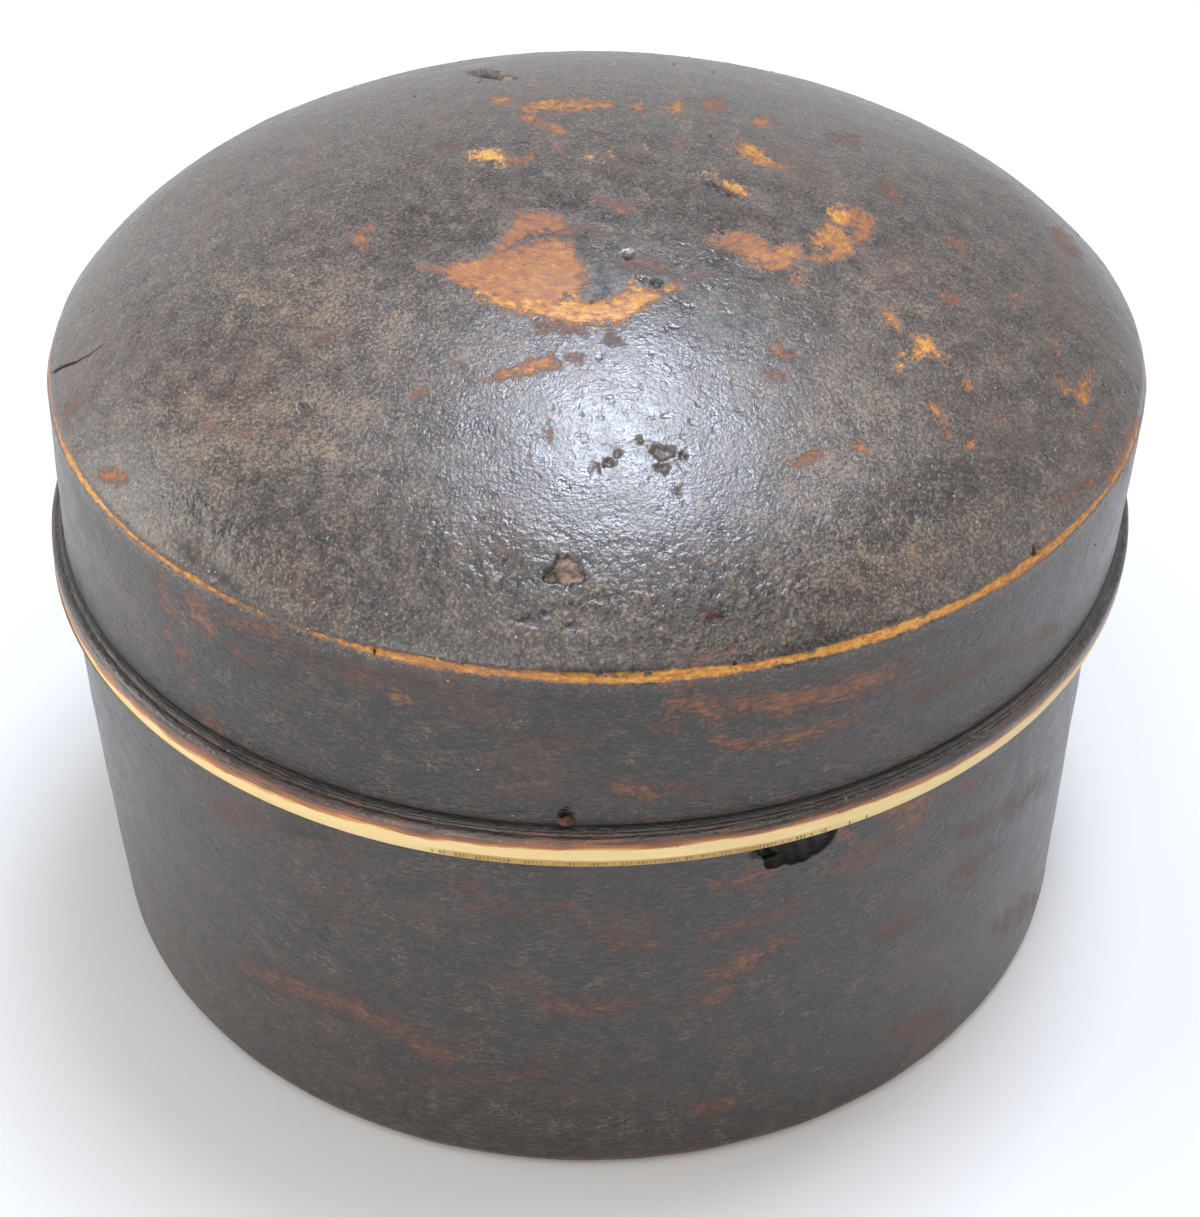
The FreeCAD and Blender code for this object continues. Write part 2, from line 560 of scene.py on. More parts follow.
@dataclass
class OldLacquer(Surface):
    """Dark resin lacquer brushed on turned wood, satin, pebbled by age and worn through.

    It gives the eye a dark grey-brown skin with a broad milky gloss, tan grit in
    the rough places, and reddish, orange and pale wood where hands have worn it.
    """

    name: str = "old_dark_lacquer_on_turned_wood"
    darkest: str = "#0b0807"
    dark: str = "#1d1713"
    brown: str = "#3a2e25"
    red: str = "#4a2c1f"
    umber: str = "#6b5949"
    dust: str = "#7b726b"
    dry_dust: str = "#7f6c5a"
    tan: str = "#80694f"
    clean_wood: str = "#dfc78d"
    stain: str = "#b08c48"
    pebble: float = 0.0006
    grain: float = 0.00028
    speck: float = 0.00042
    brush_mark: float = 0.00032
    scratch: float = 0.0005
    scratch_turns: tuple[float, ...] = (0.75, -0.5)

    def build(self) -> Finish:
        """Builds the material.

        Returns:
            The lacquer with its wear.
        """
        self.soft, self.leather = self.value("soft"), self.value("leather")
        self.grit, self.grime = self.value("grit"), self.value("grime")
        self.ragged = self.noise(0.0012, 5.0, rough=0.65)
        self.streaks = self.noise(self.brush_mark, stretch=3.6)
        self.specks = self.noise(self.speck, rough=0.7)
        self.clumps = self.noise(0.0034, 3.0, rough=0.6)
        self.pebbles, self.coarse = self.noise(self.pebble), self.noise(1.9 * self.pebble)
        worn = self.worn_share()
        colour, pale = self.flange(self.blend(worn, self.coat(), self.worn_colour()))
        # Darkens towards black by the mesh's darkening value: stains, and painted shade in the
        # groove, the broken rim and the hollows.
        stain_and_shade_share = (self.grime + self.ragged.step(0.35, 0.75, -0.22, 0.22)).step(0.3, 0.75)
        colour = self.blend(stain_and_shade_share, colour, self.darkest)
        rough = self.clumps.step(0.3, 0.7, 0.26, 0.37) + 0.1 * self.grit + 0.3 * self.grime
        rough = rough + 0.24 * worn.join("MAXIMUM", worn, pale)
        return self.finish(colour, rough, self.relief(worn), level=0.8)

    def coat(self) -> Value:
        """Colours the unworn lacquer, with painted shade between the coarse pebbles of the leathery
        places.

        Returns:
            The colour.
        """
        calm = 0.6 * self.streaks + 0.55 * self.pebbles - 0.085
        calm = calm.join("MINIMUM", calm, 0.575)
        fine = self.add("ShaderNodeMix", {0: self.soft, 2: self.pebbles, 3: calm})
        drift = 0.82 * fine + 0.18 * self.clumps
        stops = (0.43, self.darkest), (0.5, self.dark), (0.56, self.brown), (0.64, self.umber)
        colour = self.add("ShaderNodeValToRGB", {0: drift}, ramp=stops)
        clouds = self.noise(0.009, 4.0, stretch=2.2)
        redder = clouds.step(0.52, 0.7, 0.0, 0.6) * fine.step(0.4, 0.55, 0.35, 1.0)
        colour = self.blend(redder, colour, self.red)
        film = 1.1 * self.specks + 0.45 * self.clumps - 1.3 * self.pebbles
        film = (film + 0.06 * self.grit + 0.035) * (1 - 0.85 * self.soft)
        colour = self.blend(film * (1 - 0.4 * self.leather), colour, self.dust)
        # Painted shade: the low parts of the coarse pebbles in the leathery places are darkened
        # towards black.
        painted_crevice_shade = self.coarse.step(0.41, 0.54, 0.95, 0.0) * self.leather
        colour = self.blend(painted_crevice_shade, colour, self.darkest)
        shown = 0.15 * self.grit + 0.4 * self.clumps + self.specks
        return self.blend(shown.step(0.82, 1.0, 0.0, 0.75), colour, self.tan)

    def worn_share(self) -> Value:
        """Says where the lacquer has gone: ragged on the dome, in soft streaks on the walls.

        Returns:
            The share of bare wood.
        """
        edge = 0.5 * self.clumps + 0.35 * self.specks + 1.1 * self.ragged
        share = self.value("worn") + edge + (0.5 * self.soft + 0.35) * self.streaks
        share = share.step(0.08 * self.soft + 1.55, 0.27 * self.soft + 1.92)
        return share * (1 - 0.3 * self.soft)

    def worn_colour(self) -> Value:
        """Colours the wood under the lacquer, from red-brown stain to pale wood.

        Returns:
            The colour.
        """
        fine = (0.6 * self.ragged + 0.5 * self.streaks - 0.55) * 1.5 + 0.06 * self.soft
        rim = self.value("worn").step(0.4, 0.75, -0.16, 0.0)
        stops = (
            (0.05, "#301b14"),
            (0.26, "#512c1b"),
            (0.42, "#6f3e20"),
            (0.56, "#885021"),
            (0.7, "#935c1f"),
            (0.84, "#b0731a"),
            (0.97, "#c08c3e"),
        )
        depth = self.value("worn_depth") + fine + rim
        colour = self.add("ShaderNodeValToRGB", {0: depth}, ramp=stops)
        colour = self.blend(0.5 * self.value("dusty"), colour, self.dry_dust)
        left = (0.5 * self.ragged + self.specks).step(0.86, 0.98, 0.0, 0.7)
        return self.blend(left, colour, self.dark)

    def flange(self, colour: Value) -> tuple[Value, Value]:
        """Lays the bare band and its stained edges over the flange.

        Args:
            colour: the colour without the band.

        Returns:
            The colour, and the share of bare wood.
        """
        on_flange = self.value("on_flange")
        drift = self.noise(0.0042, 4.0, 3.0, 0.6)
        fray = self.noise(0.00035, stretch=14.0)
        height = self.value("band") + (0.3 * fray + 0.4 * drift - 0.35)
        stops = (
            (0.0, self.clean_wood),
            (0.31, self.clean_wood),
            (0.36, "#c78a42"),
            (0.43, "#9c5a26"),
            (0.56, "#7a4a28"),
            (0.72, "#3f2a1e"),
            (0.86, self.dark),
        )
        fade = self.add("ShaderNodeValToRGB", {0: height}, ramp=stops)
        streaked = fray.step(0.4, 0.66, 0.0, 0.5) * height.step(0.42, 0.55)
        fade = self.blend(streaked, fade, self.dark)
        tinted = drift.step(0.4, 0.62, 0.3, 0.0) * height.step(0.3, 0.45, 1.0, 0.0)
        fade = self.blend(tinted, fade, "#d9b06a")
        fade = self.blend(height.step(0.66, 0.92), fade, colour)
        banded = self.blend(on_flange, colour, fade)
        low = (self.value("band_rise") + 0.5 * fray).step(1.25, 1.55, 1.0, 0.0)
        banded = self.blend(low * self.value("stained") * on_flange, banded, self.stain)
        return banded, height.step(0.31, 0.5, 1.0, 0.0) * on_flange

    def relief(self, worn: Value) -> Value:
        """Sums up pebbles, grain, brush marks, grit, pits, scratches and worn edges.

        Args:
            worn: where the lacquer has gone.

        Returns:
            The height in metres.
        """
        height = self.pebbles * (0.00004 * self.grit - 0.00001 * self.soft + 0.00006)
        height = height + self.coarse * (0.00044 * self.leather + 0.00004)
        height = height + 0.00003 * self.noise(self.grain, 1.0)
        height = height + self.streaks * (0.00013 * self.soft + 0.00002)
        height = height + 0.00005 * self.specks * self.grit
        height = height - 0.00006 * self.noise(0.0019).step(0.58, 0.76)
        for turn in self.scratch_turns:
            inputs = {"Vector": self.place, "Rotation": (0.0, 0.0, turn), "Scale": (1.0, 0.06, 1.0)}
            inputs = {"Vector": self.add("ShaderNodeMapping", inputs)}
            inputs |= {"Scale": 1 / self.scratch, "Detail": 1.0}
            lines = self.add("ShaderNodeTexNoise", inputs)
            height = height - 0.00002 * lines.step(0.66, 0.76)
        return height * (1 - 0.7 * worn) - 0.00005 * worn


@dataclass
class RawTurnedWood(Surface):
    """Close-grained wood left bare inside, turned and then darkened by a century of air.

    It gives the eye a dull honey brown with fine rings left by the turning tool.
    """

    name: str = "raw_turned_wood"
    light: str = "#a37d4b"
    middle: str = "#84603a"
    dark: str = "#5c3f27"
    # Painted shade: the colour that the broken chip is darkened to.
    painted_shade: str = "#1c130d"
    tool_pitch: float = 0.0011

    def build(self) -> Finish:
        """Builds the material.

        Returns:
            The raw wood.
        """
        grain = self.noise(0.0006, 4.0, 22.0, 0.6)
        pores = self.noise(0.0003, 1.0, 9.0)
        clouds = self.noise(0.02, 3.0)
        tone = 0.5 * grain + 0.4 * clouds + pores.step(0.58, 0.72, 0.03, -0.1)
        stops = (0.3, self.dark), (0.46, self.middle), (0.62, self.light)
        colour = self.add("ShaderNodeValToRGB", {0: tone}, ramp=stops)
        # Painted shade: darkens the bare wood inside the broken chip.
        colour = self.blend(self.value("grime").step(0.2, 0.9), colour, self.painted_shade)
        phase = self.value("along") * (2 * math.pi / self.tool_pitch) + 9.0 * clouds
        height = 0.000012 * phase.join("SINE", phase) + 0.00004 * grain
        return self.finish(colour, clouds.step(0.3, 0.7, 0.5, 0.66), height)


@dataclass
class DryDirt(Surface):
    """Dry dust and crumbs packed into the tool marks, dull and earthy.

    It gives the eye small matt specks from tan to umber against the satin lacquer.
    """

    light: str
    dark: str

    def build(self) -> Finish:
        """Builds the material.

        Returns:
            The dust and crumbs.
        """
        tone = self.noise(0.0012, 1.0).step(0.35, 0.65)
        colour = self.blend(tone, self.dark, self.light)
        return self.finish(colour, 0.75, 0.00004 * self.noise(0.0002), ior=1.45)


class NodeTool:
    """A Geometry Nodes tree with named inputs, which is run on a piece."""

    name: str
    sizes: dict[str, float]

    def __init__(self, **finishes: Finish) -> None:
        """Creates the tree with its inputs and its nodes.

        Args:
            finishes: a material for each of its material inputs.
        """
        self.values = {**self.sizes, "Seed": SEED, **finishes}
        self.tree = bpy.data.node_groups.new(self.name, "GeometryNodeTree")
        sockets = self.tree.interface
        for way in ("INPUT", "OUTPUT"):
            sockets.new_socket("Geometry", in_out=way, socket_type="NodeSocketGeometry")
        for title, value in self.values.items():
            kind = {float: "Float", int: "Int"}.get(type(value), "Material")
            sockets.new_socket(title, in_out="INPUT", socket_type=f"NodeSocket{kind}")
        self.given = self.add("NodeGroupInput")
        self.add("NodeGroupOutput", {0: self.draw()})

    def add(self, kind: str, inputs: dict | None = None, **settings: object) -> Value:
        """Adds a node to the tree."""
        return add_node(self.tree, kind, inputs, **settings)

    def named(self, name: str, kind: str = "FLOAT") -> Value:
        """Reads one of the mesh's own values."""
        return self.add("GeometryNodeInputNamedAttribute", {"Name": name}, data_type=kind)

    def draw(self) -> Value:
        """Draws the tree, from its inputs to Set Material."""
        raise NotImplementedError

    def scatter(self, shape: Value, low: tuple, high: tuple, inputs: dict) -> Value:
        """Sets a shape on points, in changing sizes.

        Args:
            shape: the shape.
            low: its smallest size along each axis.
            high: its largest one.
            inputs: the points, and what else says where and how it stands.

        Returns:
            The shapes as plain geometry in their material.
        """
        scale = {0: low, 1: high, "Seed": self.given["Seed"]}
        scale = self.add("FunctionNodeRandomValue", scale, data_type="FLOAT_VECTOR")["Value"]
        inputs = {"Instance": shape, "Scale": scale} | inputs
        placed = self.add("GeometryNodeInstanceOnPoints", inputs)
        real = self.add("GeometryNodeRealizeInstances", {0: placed})
        return self.add("GeometryNodeSetMaterial", {0: real, 2: self.given["Dirt"]})

    def apply(self, piece: Piece, name: str) -> Piece:
        """Runs the tree on a piece.

        Args:
            piece: the object that the tree starts from.
            name: the name of the result.

        Returns:
            A new object with the result as a plain mesh.
        """
        modifier = piece.modifiers.new(self.name, "NODES")
        modifier.node_group = self.tree
        for item in self.tree.interface.items_tree:
            if item.in_out == "INPUT" and item.name in self.values:
                modifier[item.identifier] = self.values[item.name]
        evaluated = piece.evaluated_get(bpy.context.evaluated_depsgraph_get())
        mesh = bpy.data.meshes.new_from_object(evaluated)
        piece.modifiers.remove(modifier)
        mesh.name = name
        return show(name, mesh)


class UnevenSkin(NodeTool):
    """Raises the lacquer into lumps and pebbles, and sets the materials."""

    name = "uneven_skin"
    sizes = {
        "Lump Size": 0.009,
        "Lump Height": 0.00034,
        "Pebble Size": 0.0022,
        "Pebble Height": 0.00022,
        "Ripple Size": 0.0016,
        "Ripple Height": 0.00005,
    }

    def draw(self) -> Value:
        """Draws the tree.

        Returns:
            The uneven piece.
        """
        given, height = self.given, 0.0
        place = self.add("GeometryNodeInputPosition")
        along = self.add("ShaderNodeCombineXYZ", {0: self.named("along")})
        for title, where, weight in (
            ("Lump", place, 1.0), ("Pebble", place, self.named("grit")), ("Ripple", along, 1.0)
        ):
            inputs = {"Vector": where, "W": given["Seed"], "Detail": 2.0}
            inputs["Scale"] = given.join("DIVIDE", 1.0, given[f"{title} Size"])
            noise = self.add("ShaderNodeTexNoise", inputs, noise_dimensions="4D")
            height = (noise - 0.5) * (given[f"{title} Height"] * weight) + height
        lift = {0: self.add("GeometryNodeInputNormal"), 3: height * self.named("skin")}
        inputs = {"Geometry": given["Geometry"]}
        inputs["Offset"] = self.add("ShaderNodeVectorMath", lift, operation="SCALE")
        moved = self.add("GeometryNodeSetPosition", inputs)
        real = self.add("GeometryNodeRealizeInstances", {0: moved})
        coated = self.add("GeometryNodeSetMaterial", {0: real, 2: given["Lacquer"]})
        inputs = {0: coated, 1: self.named("raw", "BOOLEAN"), 2: given["Raw"]}
        return self.add("GeometryNodeSetMaterial", inputs)


class ToolMarks(NodeTool):
    """Sets slivers of packed dust side by side along a path, where it is stained."""

    name = "tool_marks"
    sizes = {"Pitch": 0.0005, "Width": 0.00017, "Thickness": 0.0002, "Height": 0.00065}

    def draw(self) -> Value:
        """Draws the tree.

        Returns:
            The slivers.
        """
        given = self.given
        curve = self.add("GeometryNodeMeshToCurve", {0: given["Geometry"]})
        inputs = {"Curve": curve, "Length": given["Pitch"]}
        points = self.add("GeometryNodeResampleCurve", inputs, mode="LENGTH")
        size = {0: given["Width"], 1: given["Thickness"], 2: given["Height"]}
        sliver = self.add("GeometryNodeMeshCube", {"Size": self.add("ShaderNodeCombineXYZ", size)})
        inputs = {"Vector": self.add("GeometryNodeInputTangent")}
        turn = self.add("FunctionNodeAlignRotationToVector", inputs, axis="X", pivot_axis="Z")
        share = self.add("FunctionNodeRandomValue", {"Seed": given["Seed"]}, data_type="FLOAT")
        inputs = {0: share["Value"], 1: self.named("stained")}
        chosen = self.add("FunctionNodeCompare", inputs, data_type="FLOAT", operation="LESS_THAN")
        inputs = {"Points": points, "Selection": chosen, "Rotation": turn}
        return self.scatter(sliver, (0.5, 0.7, 0.45), (1.6, 1.2, 1.0), inputs)


class ScatteredGrains(NodeTool):
    """Scatters grains where the surface is gritty."""

    name = "scattered_grains"
    sizes = {"Density": 260000.0, "Grain Size": 0.00022}

    def draw(self) -> Value:
        """Draws the tree.

        Returns:
            The grains.
        """
        given = self.given
        inputs = {"Mesh": given["Geometry"], "Seed": given["Seed"]}
        inputs["Density"] = self.named("grains") * given["Density"]
        points = self.add("GeometryNodeDistributePointsOnFaces", inputs)
        inputs = {"Radius": given["Grain Size"], "Subdivisions": 1}
        grain = self.add("GeometryNodeMeshIcoSphere", inputs)
        inputs = {"Points": points["Points"], "Rotation": points["Rotation"]}
        return self.scatter(grain, (0.35, 0.35, 0.2), (1.2, 1.0, 0.5), inputs)


def read(items: bpy.types.bpy_prop_collection, kind: str, width: int = 3) -> Array:
    """Reads the same property of all items of a mesh's collection.

    Args:
        items: the collection.
        kind: the property's name.
        width: how many numbers it has.

    Returns:
        The numbers, one item a row.
    """
    values = np.empty(len(items) * width, np.float32)
    items.foreach_get(kind, values)
    return values.reshape(-1, width).astype(float)


def write_values(mesh: Mesh, **values: Array | float) -> None:
    """Writes numbers for each vertex.

    Args:
        mesh: the mesh that gets them.
        values: the numbers under the names that trees and materials read.
    """
    for name, numbers in values.items():
        layer = mesh.attributes.get(name) or mesh.attributes.new(name, "FLOAT", "POINT")
        layer.data.foreach_set("value", np.full(len(mesh.vertices), numbers, np.float32))


def smooth(share: Array) -> Array:
    """Turns a rise from 0 to 1 into one with soft ends."""
    share = np.clip(share, 0, 1)
    return share * share * (3 - 2 * share)


def soft_noise(points: Array, size: float, seed: int) -> Array:
    """Makes a smooth seeded noise at points in space, from 0 to 1.

    Args:
        points: the places, one a row.
        size: the width of one blot.
        seed: fixes the pattern.

    Returns:
        The noise.
    """
    cells = 32
    lattice = np.random.default_rng(seed).random((cells, cells, cells))
    corner = np.floor(points / size).astype(int)
    share = smooth(points / size - corner)
    total = np.zeros(len(points))
    for offset in np.ndindex(2, 2, 2):
        weight = np.prod(np.where(np.array(offset) == 1, share, 1 - share), axis=1)
        total += weight * lattice[tuple(((corner + offset) % cells).T)]
    return total


def reach_inside(pixels: Array, path: Array) -> Array:
    """Measures how far inside a stroke each pixel lies, negative outside.

    Args:
        pixels: the places, one a row.
        path: the stroke's points, one a row, each with its reach.

    Returns:
        The distance inside the stroke's edge, in pixels.
    """
    best = np.full(len(pixels), -np.inf)
    for start, end in pairwise(path if len(path) > 1 else np.repeat(path, 2, axis=0)):
        way = end[:2] - start[:2]
        share = np.clip((pixels - start[:2]) @ way / max(way @ way, 1e-9), 0, 1)
        nearest = start + share[:, None] * (end - start)
        best = np.maximum(best, nearest[:, 2] - np.hypot(*(pixels - nearest[:, :2]).T))
    return best


def stitch(first: int, first_count: int, second: int, second_count: int) -> list[tuple]:
    """Joins two rings of points with faces.

    Args:
        first: number of the lower ring's first point.
        first_count: how many points it has.
        second: number of the upper ring's first point.
        second_count: how many points it has, as many, half, twice or one.

    Returns:
        The faces, as tuples of point numbers.
    """
    low = [first + place % first_count for place in range(first_count + 1)]
    high = [second + place % second_count for place in range(second_count + 1)]
    if first_count == second_count:
        return list(zip(low, low[1:], high[1:], high))
    if second_count == 1:
        return [(near, far, second) for near, far in pairwise(low)]
    if first_count == 1:
        return [(first, far, near) for near, far in pairwise(high)]
    faces: list[tuple] = []
    if first_count > second_count:
        for near, mid, far, left, right in zip(low[::2], low[1::2], low[2::2], high, high[1:]):
            faces += [(near, mid, left), (mid, right, left), (mid, far, right)]
    else:
        for near, mid, far, left, right in zip(high[::2], high[1::2], high[2::2], low, low[1:]):
            faces += [(left, mid, near), (left, right, mid), (right, far, mid)]
    return faces


@dataclass
class TurnedPiece:
    """A piece turned from one blank: its closed mesh, its shrinkage and its wear."""

    node: str
    sizes: Sizes
    view: PhotoView
    shrinkage: Shrinkage
    marks: dict[Mark, Rows]
    hollows: tuple[Hollow, ...]
    fine_count: int = 720
    raw_count: int = 180
    fewest: int = 45
    coarse_radius: float = 0.052
    skin_step: float = 0.00096
    raw_step: float = 0.0026
    refined_width: float = 41.0
    crisp_feather: float = 13.0
    soft_feather: float = 15.0
    wide_feather: float = 45.0

    def outline(self) -> Outline:
        """Draws the piece's section."""
        raise NotImplementedError

    @property
    def points(self) -> Array:
        """The places of the vertices."""
        return read(self.mesh.vertices, "co")

    @property
    def normals(self) -> Array:
        """The normals of the vertices."""
        return read(self.mesh.vertex_normals, "vector")

    @property
    def turned(self) -> Array:
        """The places of the vertices in the true form."""
        return read(self.mesh.attributes["turned"].data, "vector")

    def value(self, name: str) -> Array:
        """Reads one number for each vertex."""
        return read(self.mesh.attributes[name].data, "value", 1)[:, 0]

    def move(self, points: Array) -> None:
        """Moves the vertices."""
        self.mesh.vertices.foreach_set("co", points.astype(np.float32).ravel())
        self.mesh.update()

    def polar(self) -> tuple[Array, Array, Array]:
        """Radius, height and angle of each vertex in the true form, the angle 0 in front."""
        x, y, height = self.turned.T
        return np.hypot(x, y), height, np.arctan2(x, -y)

    def visible(self) -> Array:
        """Says which vertices lie on an outer face that the photograph shows."""
        facing = self.view.faces(self.points, self.normals)
        return (facing > 0.02) & (self.value("outside") > 0.5)

    def softness(self) -> Array:
        """Says where brushing has left soft streaks: on the upright walls, not on the dome."""
        edge = self.sizes.arris - self.sizes.worn_drop
        return np.clip((edge - self.turned[:, 2]) / 0.002, 0, 1)

    def anchor(self, pixel: Pixel) -> Array:
        """Finds the place of the visible vertex that is nearest to a pixel."""
        away = np.hypot(*(self.view.pixels(self.points) - pixel).T)
        return self.points[np.argmin(np.where(self.visible(), away, np.inf))]

    def ring_counts(self, outline: Outline) -> list[int]:
        """Chooses how many points each ring has, halving towards the axis.

        Args:
            outline: the piece's section.

        Returns:
            The count of each ring, 1 on the axis.
        """
        counts = []
        for point, cover in zip(outline.points, [*outline.covers, outline.covers[-1]]):
            count = self.fine_count if cover is Cover.LACQUER else self.raw_count
            limit = self.coarse_radius
            while point.real < limit and count > self.fewest:
                count, limit = count // 2, limit / 2
            counts.append(1 if point.real < 1e-7 else count)
        for order in (range(1, len(counts)), range(len(counts) - 2, -1, -1)):
            for place in order:
                beside = counts[place - order.step]
                if counts[place] > 1 and beside > 2 * counts[place]:
                    counts[place] = beside // 2
        return counts

    def turn(self) -> None:
        """Turns the section into a closed, shrunken mesh that remembers its true form."""
        outline = self.outline()
        counts = self.ring_counts(outline)
        starts = np.concatenate([[0], np.cumsum(counts)])
        ring = np.repeat(np.arange(len(counts)), counts)
        section = np.array(outline.points)
        walked = np.concatenate([[0.0], np.cumsum(np.abs(np.diff(section)))])
        turns = (np.arange(starts[-1]) - starts[ring]) / np.array(counts)[ring]
        angles = 2 * math.pi * turns - math.pi / 2
        radius, height = section.real[ring], section.imag[ring]
        points = np.stack([radius * np.cos(angles), radius * np.sin(angles), height], 1)
        coated = np.array([cover is Cover.LACQUER for cover in outline.covers])
        outside = (np.append(coated, coated[-1]) | np.append(coated[0], coated))[ring]
        faces, raw = [], []
        for place, cover in enumerate(outline.covers):
            new = stitch(starts[place], counts[place], starts[place + 1], counts[place + 1])
            faces += new
            raw += [cover is Cover.RAW_WOOD] * len(new)
        moved = self.shrinkage.moved(points, outside, self.node == "lid", self.sizes)
        self.mesh = bpy.data.meshes.new(f"{self.node}_blank")
        self.mesh.from_pydata(moved.tolist(), [], faces)
        self.mesh.shade_smooth()
        self.mesh.attributes.new("raw", "BOOLEAN", "FACE").data.foreach_set("value", raw)
        turned = self.mesh.attributes.new("turned", "FLOAT_VECTOR", "POINT")
        turned.data.foreach_set("vector", points.astype(np.float32).ravel())
        write_values(self.mesh, along=walked[ring], outside=outside)
        self.blank = show(self.mesh.name, self.mesh)

    def refine(self, places: list[tuple[Array, float]], levels: int) -> None:
        """Splits the faces round some places, where fine relief needs them.

        Args:
            places: middle and radius of each place.
            levels: how many times the faces are halved.
        """
        work = bmesh.new()
        work.from_mesh(self.mesh)
        for _ in range(levels):
            points = np.array([vertex.co for vertex in work.verts])
            near = np.zeros(len(points), bool)
            for middle, radius in places:
                near |= np.linalg.norm(points - middle, axis=1) < radius
            work.verts.ensure_lookup_table()
            work.edges.index_update()
            edges = {
                edge
                for index in np.flatnonzero(near)
                for edge in work.verts[index].link_edges
                if near[edge.verts[0].index] and near[edge.verts[1].index]
            }
            edges = sorted(edges, key=lambda edge: edge.index)
            bmesh.ops.subdivide_edges(work, edges=edges, cuts=1, use_grid_fill=True)
            work.verts.index_update()
        many = [face for face in work.faces if len(face.verts) > 4]
        bmesh.ops.triangulate(work, faces=many)
        work.to_mesh(self.mesh)
        work.free()

    def hollow_places(self) -> list[tuple[Array, float]]:
        """Finds the places whose faces have to be split for the hollows.

        Returns:
            Middle and radius of each place.
        """
        pixel = self.view.distance / self.view.focal_pixels
        return [
            (self.anchor(hollow.pixel), 0.75 * hollow.reach * pixel)
            for hollow in self.hollows
            if hollow.crisp < 0.6 or hollow.reach < self.refined_width
        ]

    def paint(self, mark: Mark) -> tuple[Array, Array]:
        """Works out one kind of mark on each vertex from its strokes.

        Args:
            mark: the kind.

        Returns:
            Presence, 0.5 on a stroke's edge and more inside, and the depth there.
        """
        pixels, shown = self.view.pixels(self.points), self.visible()
        presence, depth = np.zeros((2, len(pixels)))
        more = self.soft_feather - self.crisp_feather
        feather = self.crisp_feather + more * self.softness()
        if mark in (Mark.GRIT, Mark.LEATHER):
            feather = self.wide_feather
        for stroke_depth, *path in self.marks.get(mark, ()):
            inside = reach_inside(pixels, np.reshape(path, (-1, 3)))
            here = np.clip(0.5 + inside / (2 * feather), 0, 1) * shown
            depth = np.where(here > presence, stroke_depth, depth)
            presence = np.maximum(presence, here)
        return presence, depth

    def dig(self) -> tuple[Array, Array, Array]:
        """Presses the hollows into the surface.

        Returns:
            Darkening (stains, and painted shade in the hollows), wear and depth of wear that they
            bring, for each vertex.
        """
        points, normals, shown = self.points, self.normals, self.visible()
        pixels = self.view.pixels(points)
        grime, worn, worn_depth = np.zeros((3, len(points)))
        for number, hollow in enumerate(self.hollows):
            away = (pixels - hollow.pixel) @ (1, 1j) * cmath.rect(1, -hollow.turn)
            away = away.real * 2 / hollow.width + away.imag * 2j / hollow.height
            angle = np.angle(away)
            lobes = 1 + 0.14 * np.sin(3 * angle + number) + 0.1 * np.sin(5 * angle + 2 * number)
            lobes += 0.06 * np.sin(11 * angle + 3 * number)
            share = smooth((1 - np.abs(away) / lobes) / hollow.crisp) * shown
            points -= normals * (share * hollow.depth)[:, None]
            grime = np.maximum(grime, share * hollow.grime)
            worn = np.maximum(worn, share * hollow.worn)
            worn_depth = np.where(share * hollow.worn > 0, hollow.worn_depth, worn_depth)
        self.move(points)
        return grime, worn, worn_depth

    def mark(self) -> None:
        """Marks the piece from the photograph, and finishes the sides that it doesn't show."""
        worn, depth = self.paint(Mark.WORN)
        self.wear = {"worn": worn, "worn_depth": depth}
        for kind in (Mark.GRIT, Mark.GRIME_AND_SHADE, Mark.LEATHER):
            self.wear[kind.value] = self.paint(kind)[0]
        self.wear_unseen()
        self.wear["soft"] = self.softness()
        grime, worn, depth = self.dig()
        self.lay(worn, depth)
        self.raise_to(Mark.GRIME_AND_SHADE, grime)
        self.wear["dusty"] = np.clip(2 * worn, 0, 1)

    def raise_to(self, kind: Mark, values: Array) -> None:
        """Raises one kind of mark to at least these values."""
        self.wear[kind.value] = np.maximum(self.wear[kind.value], values)

    def lay(self, presence: Array, depth: Array | float) -> None:
        """Adds wear wherever it is stronger than what is there.

        Args:
            presence: how surely it is worn, 0.5 at a worn place's edge.
            depth: how deep the wear goes there.
        """
        stronger = presence > self.wear["worn"]
        self.wear["worn_depth"] = np.where(stronger, depth, self.wear["worn_depth"])
        self.raise_to(Mark.WORN, presence)

    def wear_unseen(self) -> None:
        """Wears the sides that the photograph doesn't show in the same manner."""
        points, soft = self.points, self.softness()
        unseen = np.clip(0.5 - 4 * self.view.faces(points, self.normals), 0, 1)
        unseen *= self.value("outside")
        drawn = points * np.stack([1 - 0.6 * soft, 1 - 0.6 * soft, 1.6 + 0.6 * soft], 1)
        patches = 0.7 * soft_noise(drawn, 0.013, SEED) + 0.3 * soft_noise(drawn, 0.0042, SEED + 1)
        deep = (0.2 + 0.5 * soft_noise(points, 0.03, SEED + 2)) * (1 - 0.4 * soft)
        self.lay(np.clip(0.5 + (patches - 0.69 - 0.02 * soft) * 4.5, 0, 1) * unseen, deep)
        for kind, size, seed, calm in ((Mark.GRIT, 0.022, 3, 0.8), (Mark.LEATHER, 0.03, 4, 0.7)):
            rough = np.clip((soft_noise(points, size, SEED + seed) - 0.4) * 3, 0, 1)
            self.raise_to(kind, rough * (1 - calm * soft) * unseen)

    def save(self, skin: Array) -> None:
        """Writes the values that trees and materials read, with how much the skin may rise."""
        grains = (0.04 + 0.7 * self.wear["grit"] ** 2) * skin
        write_values(self.mesh, **self.wear, grains=grains, skin=skin)


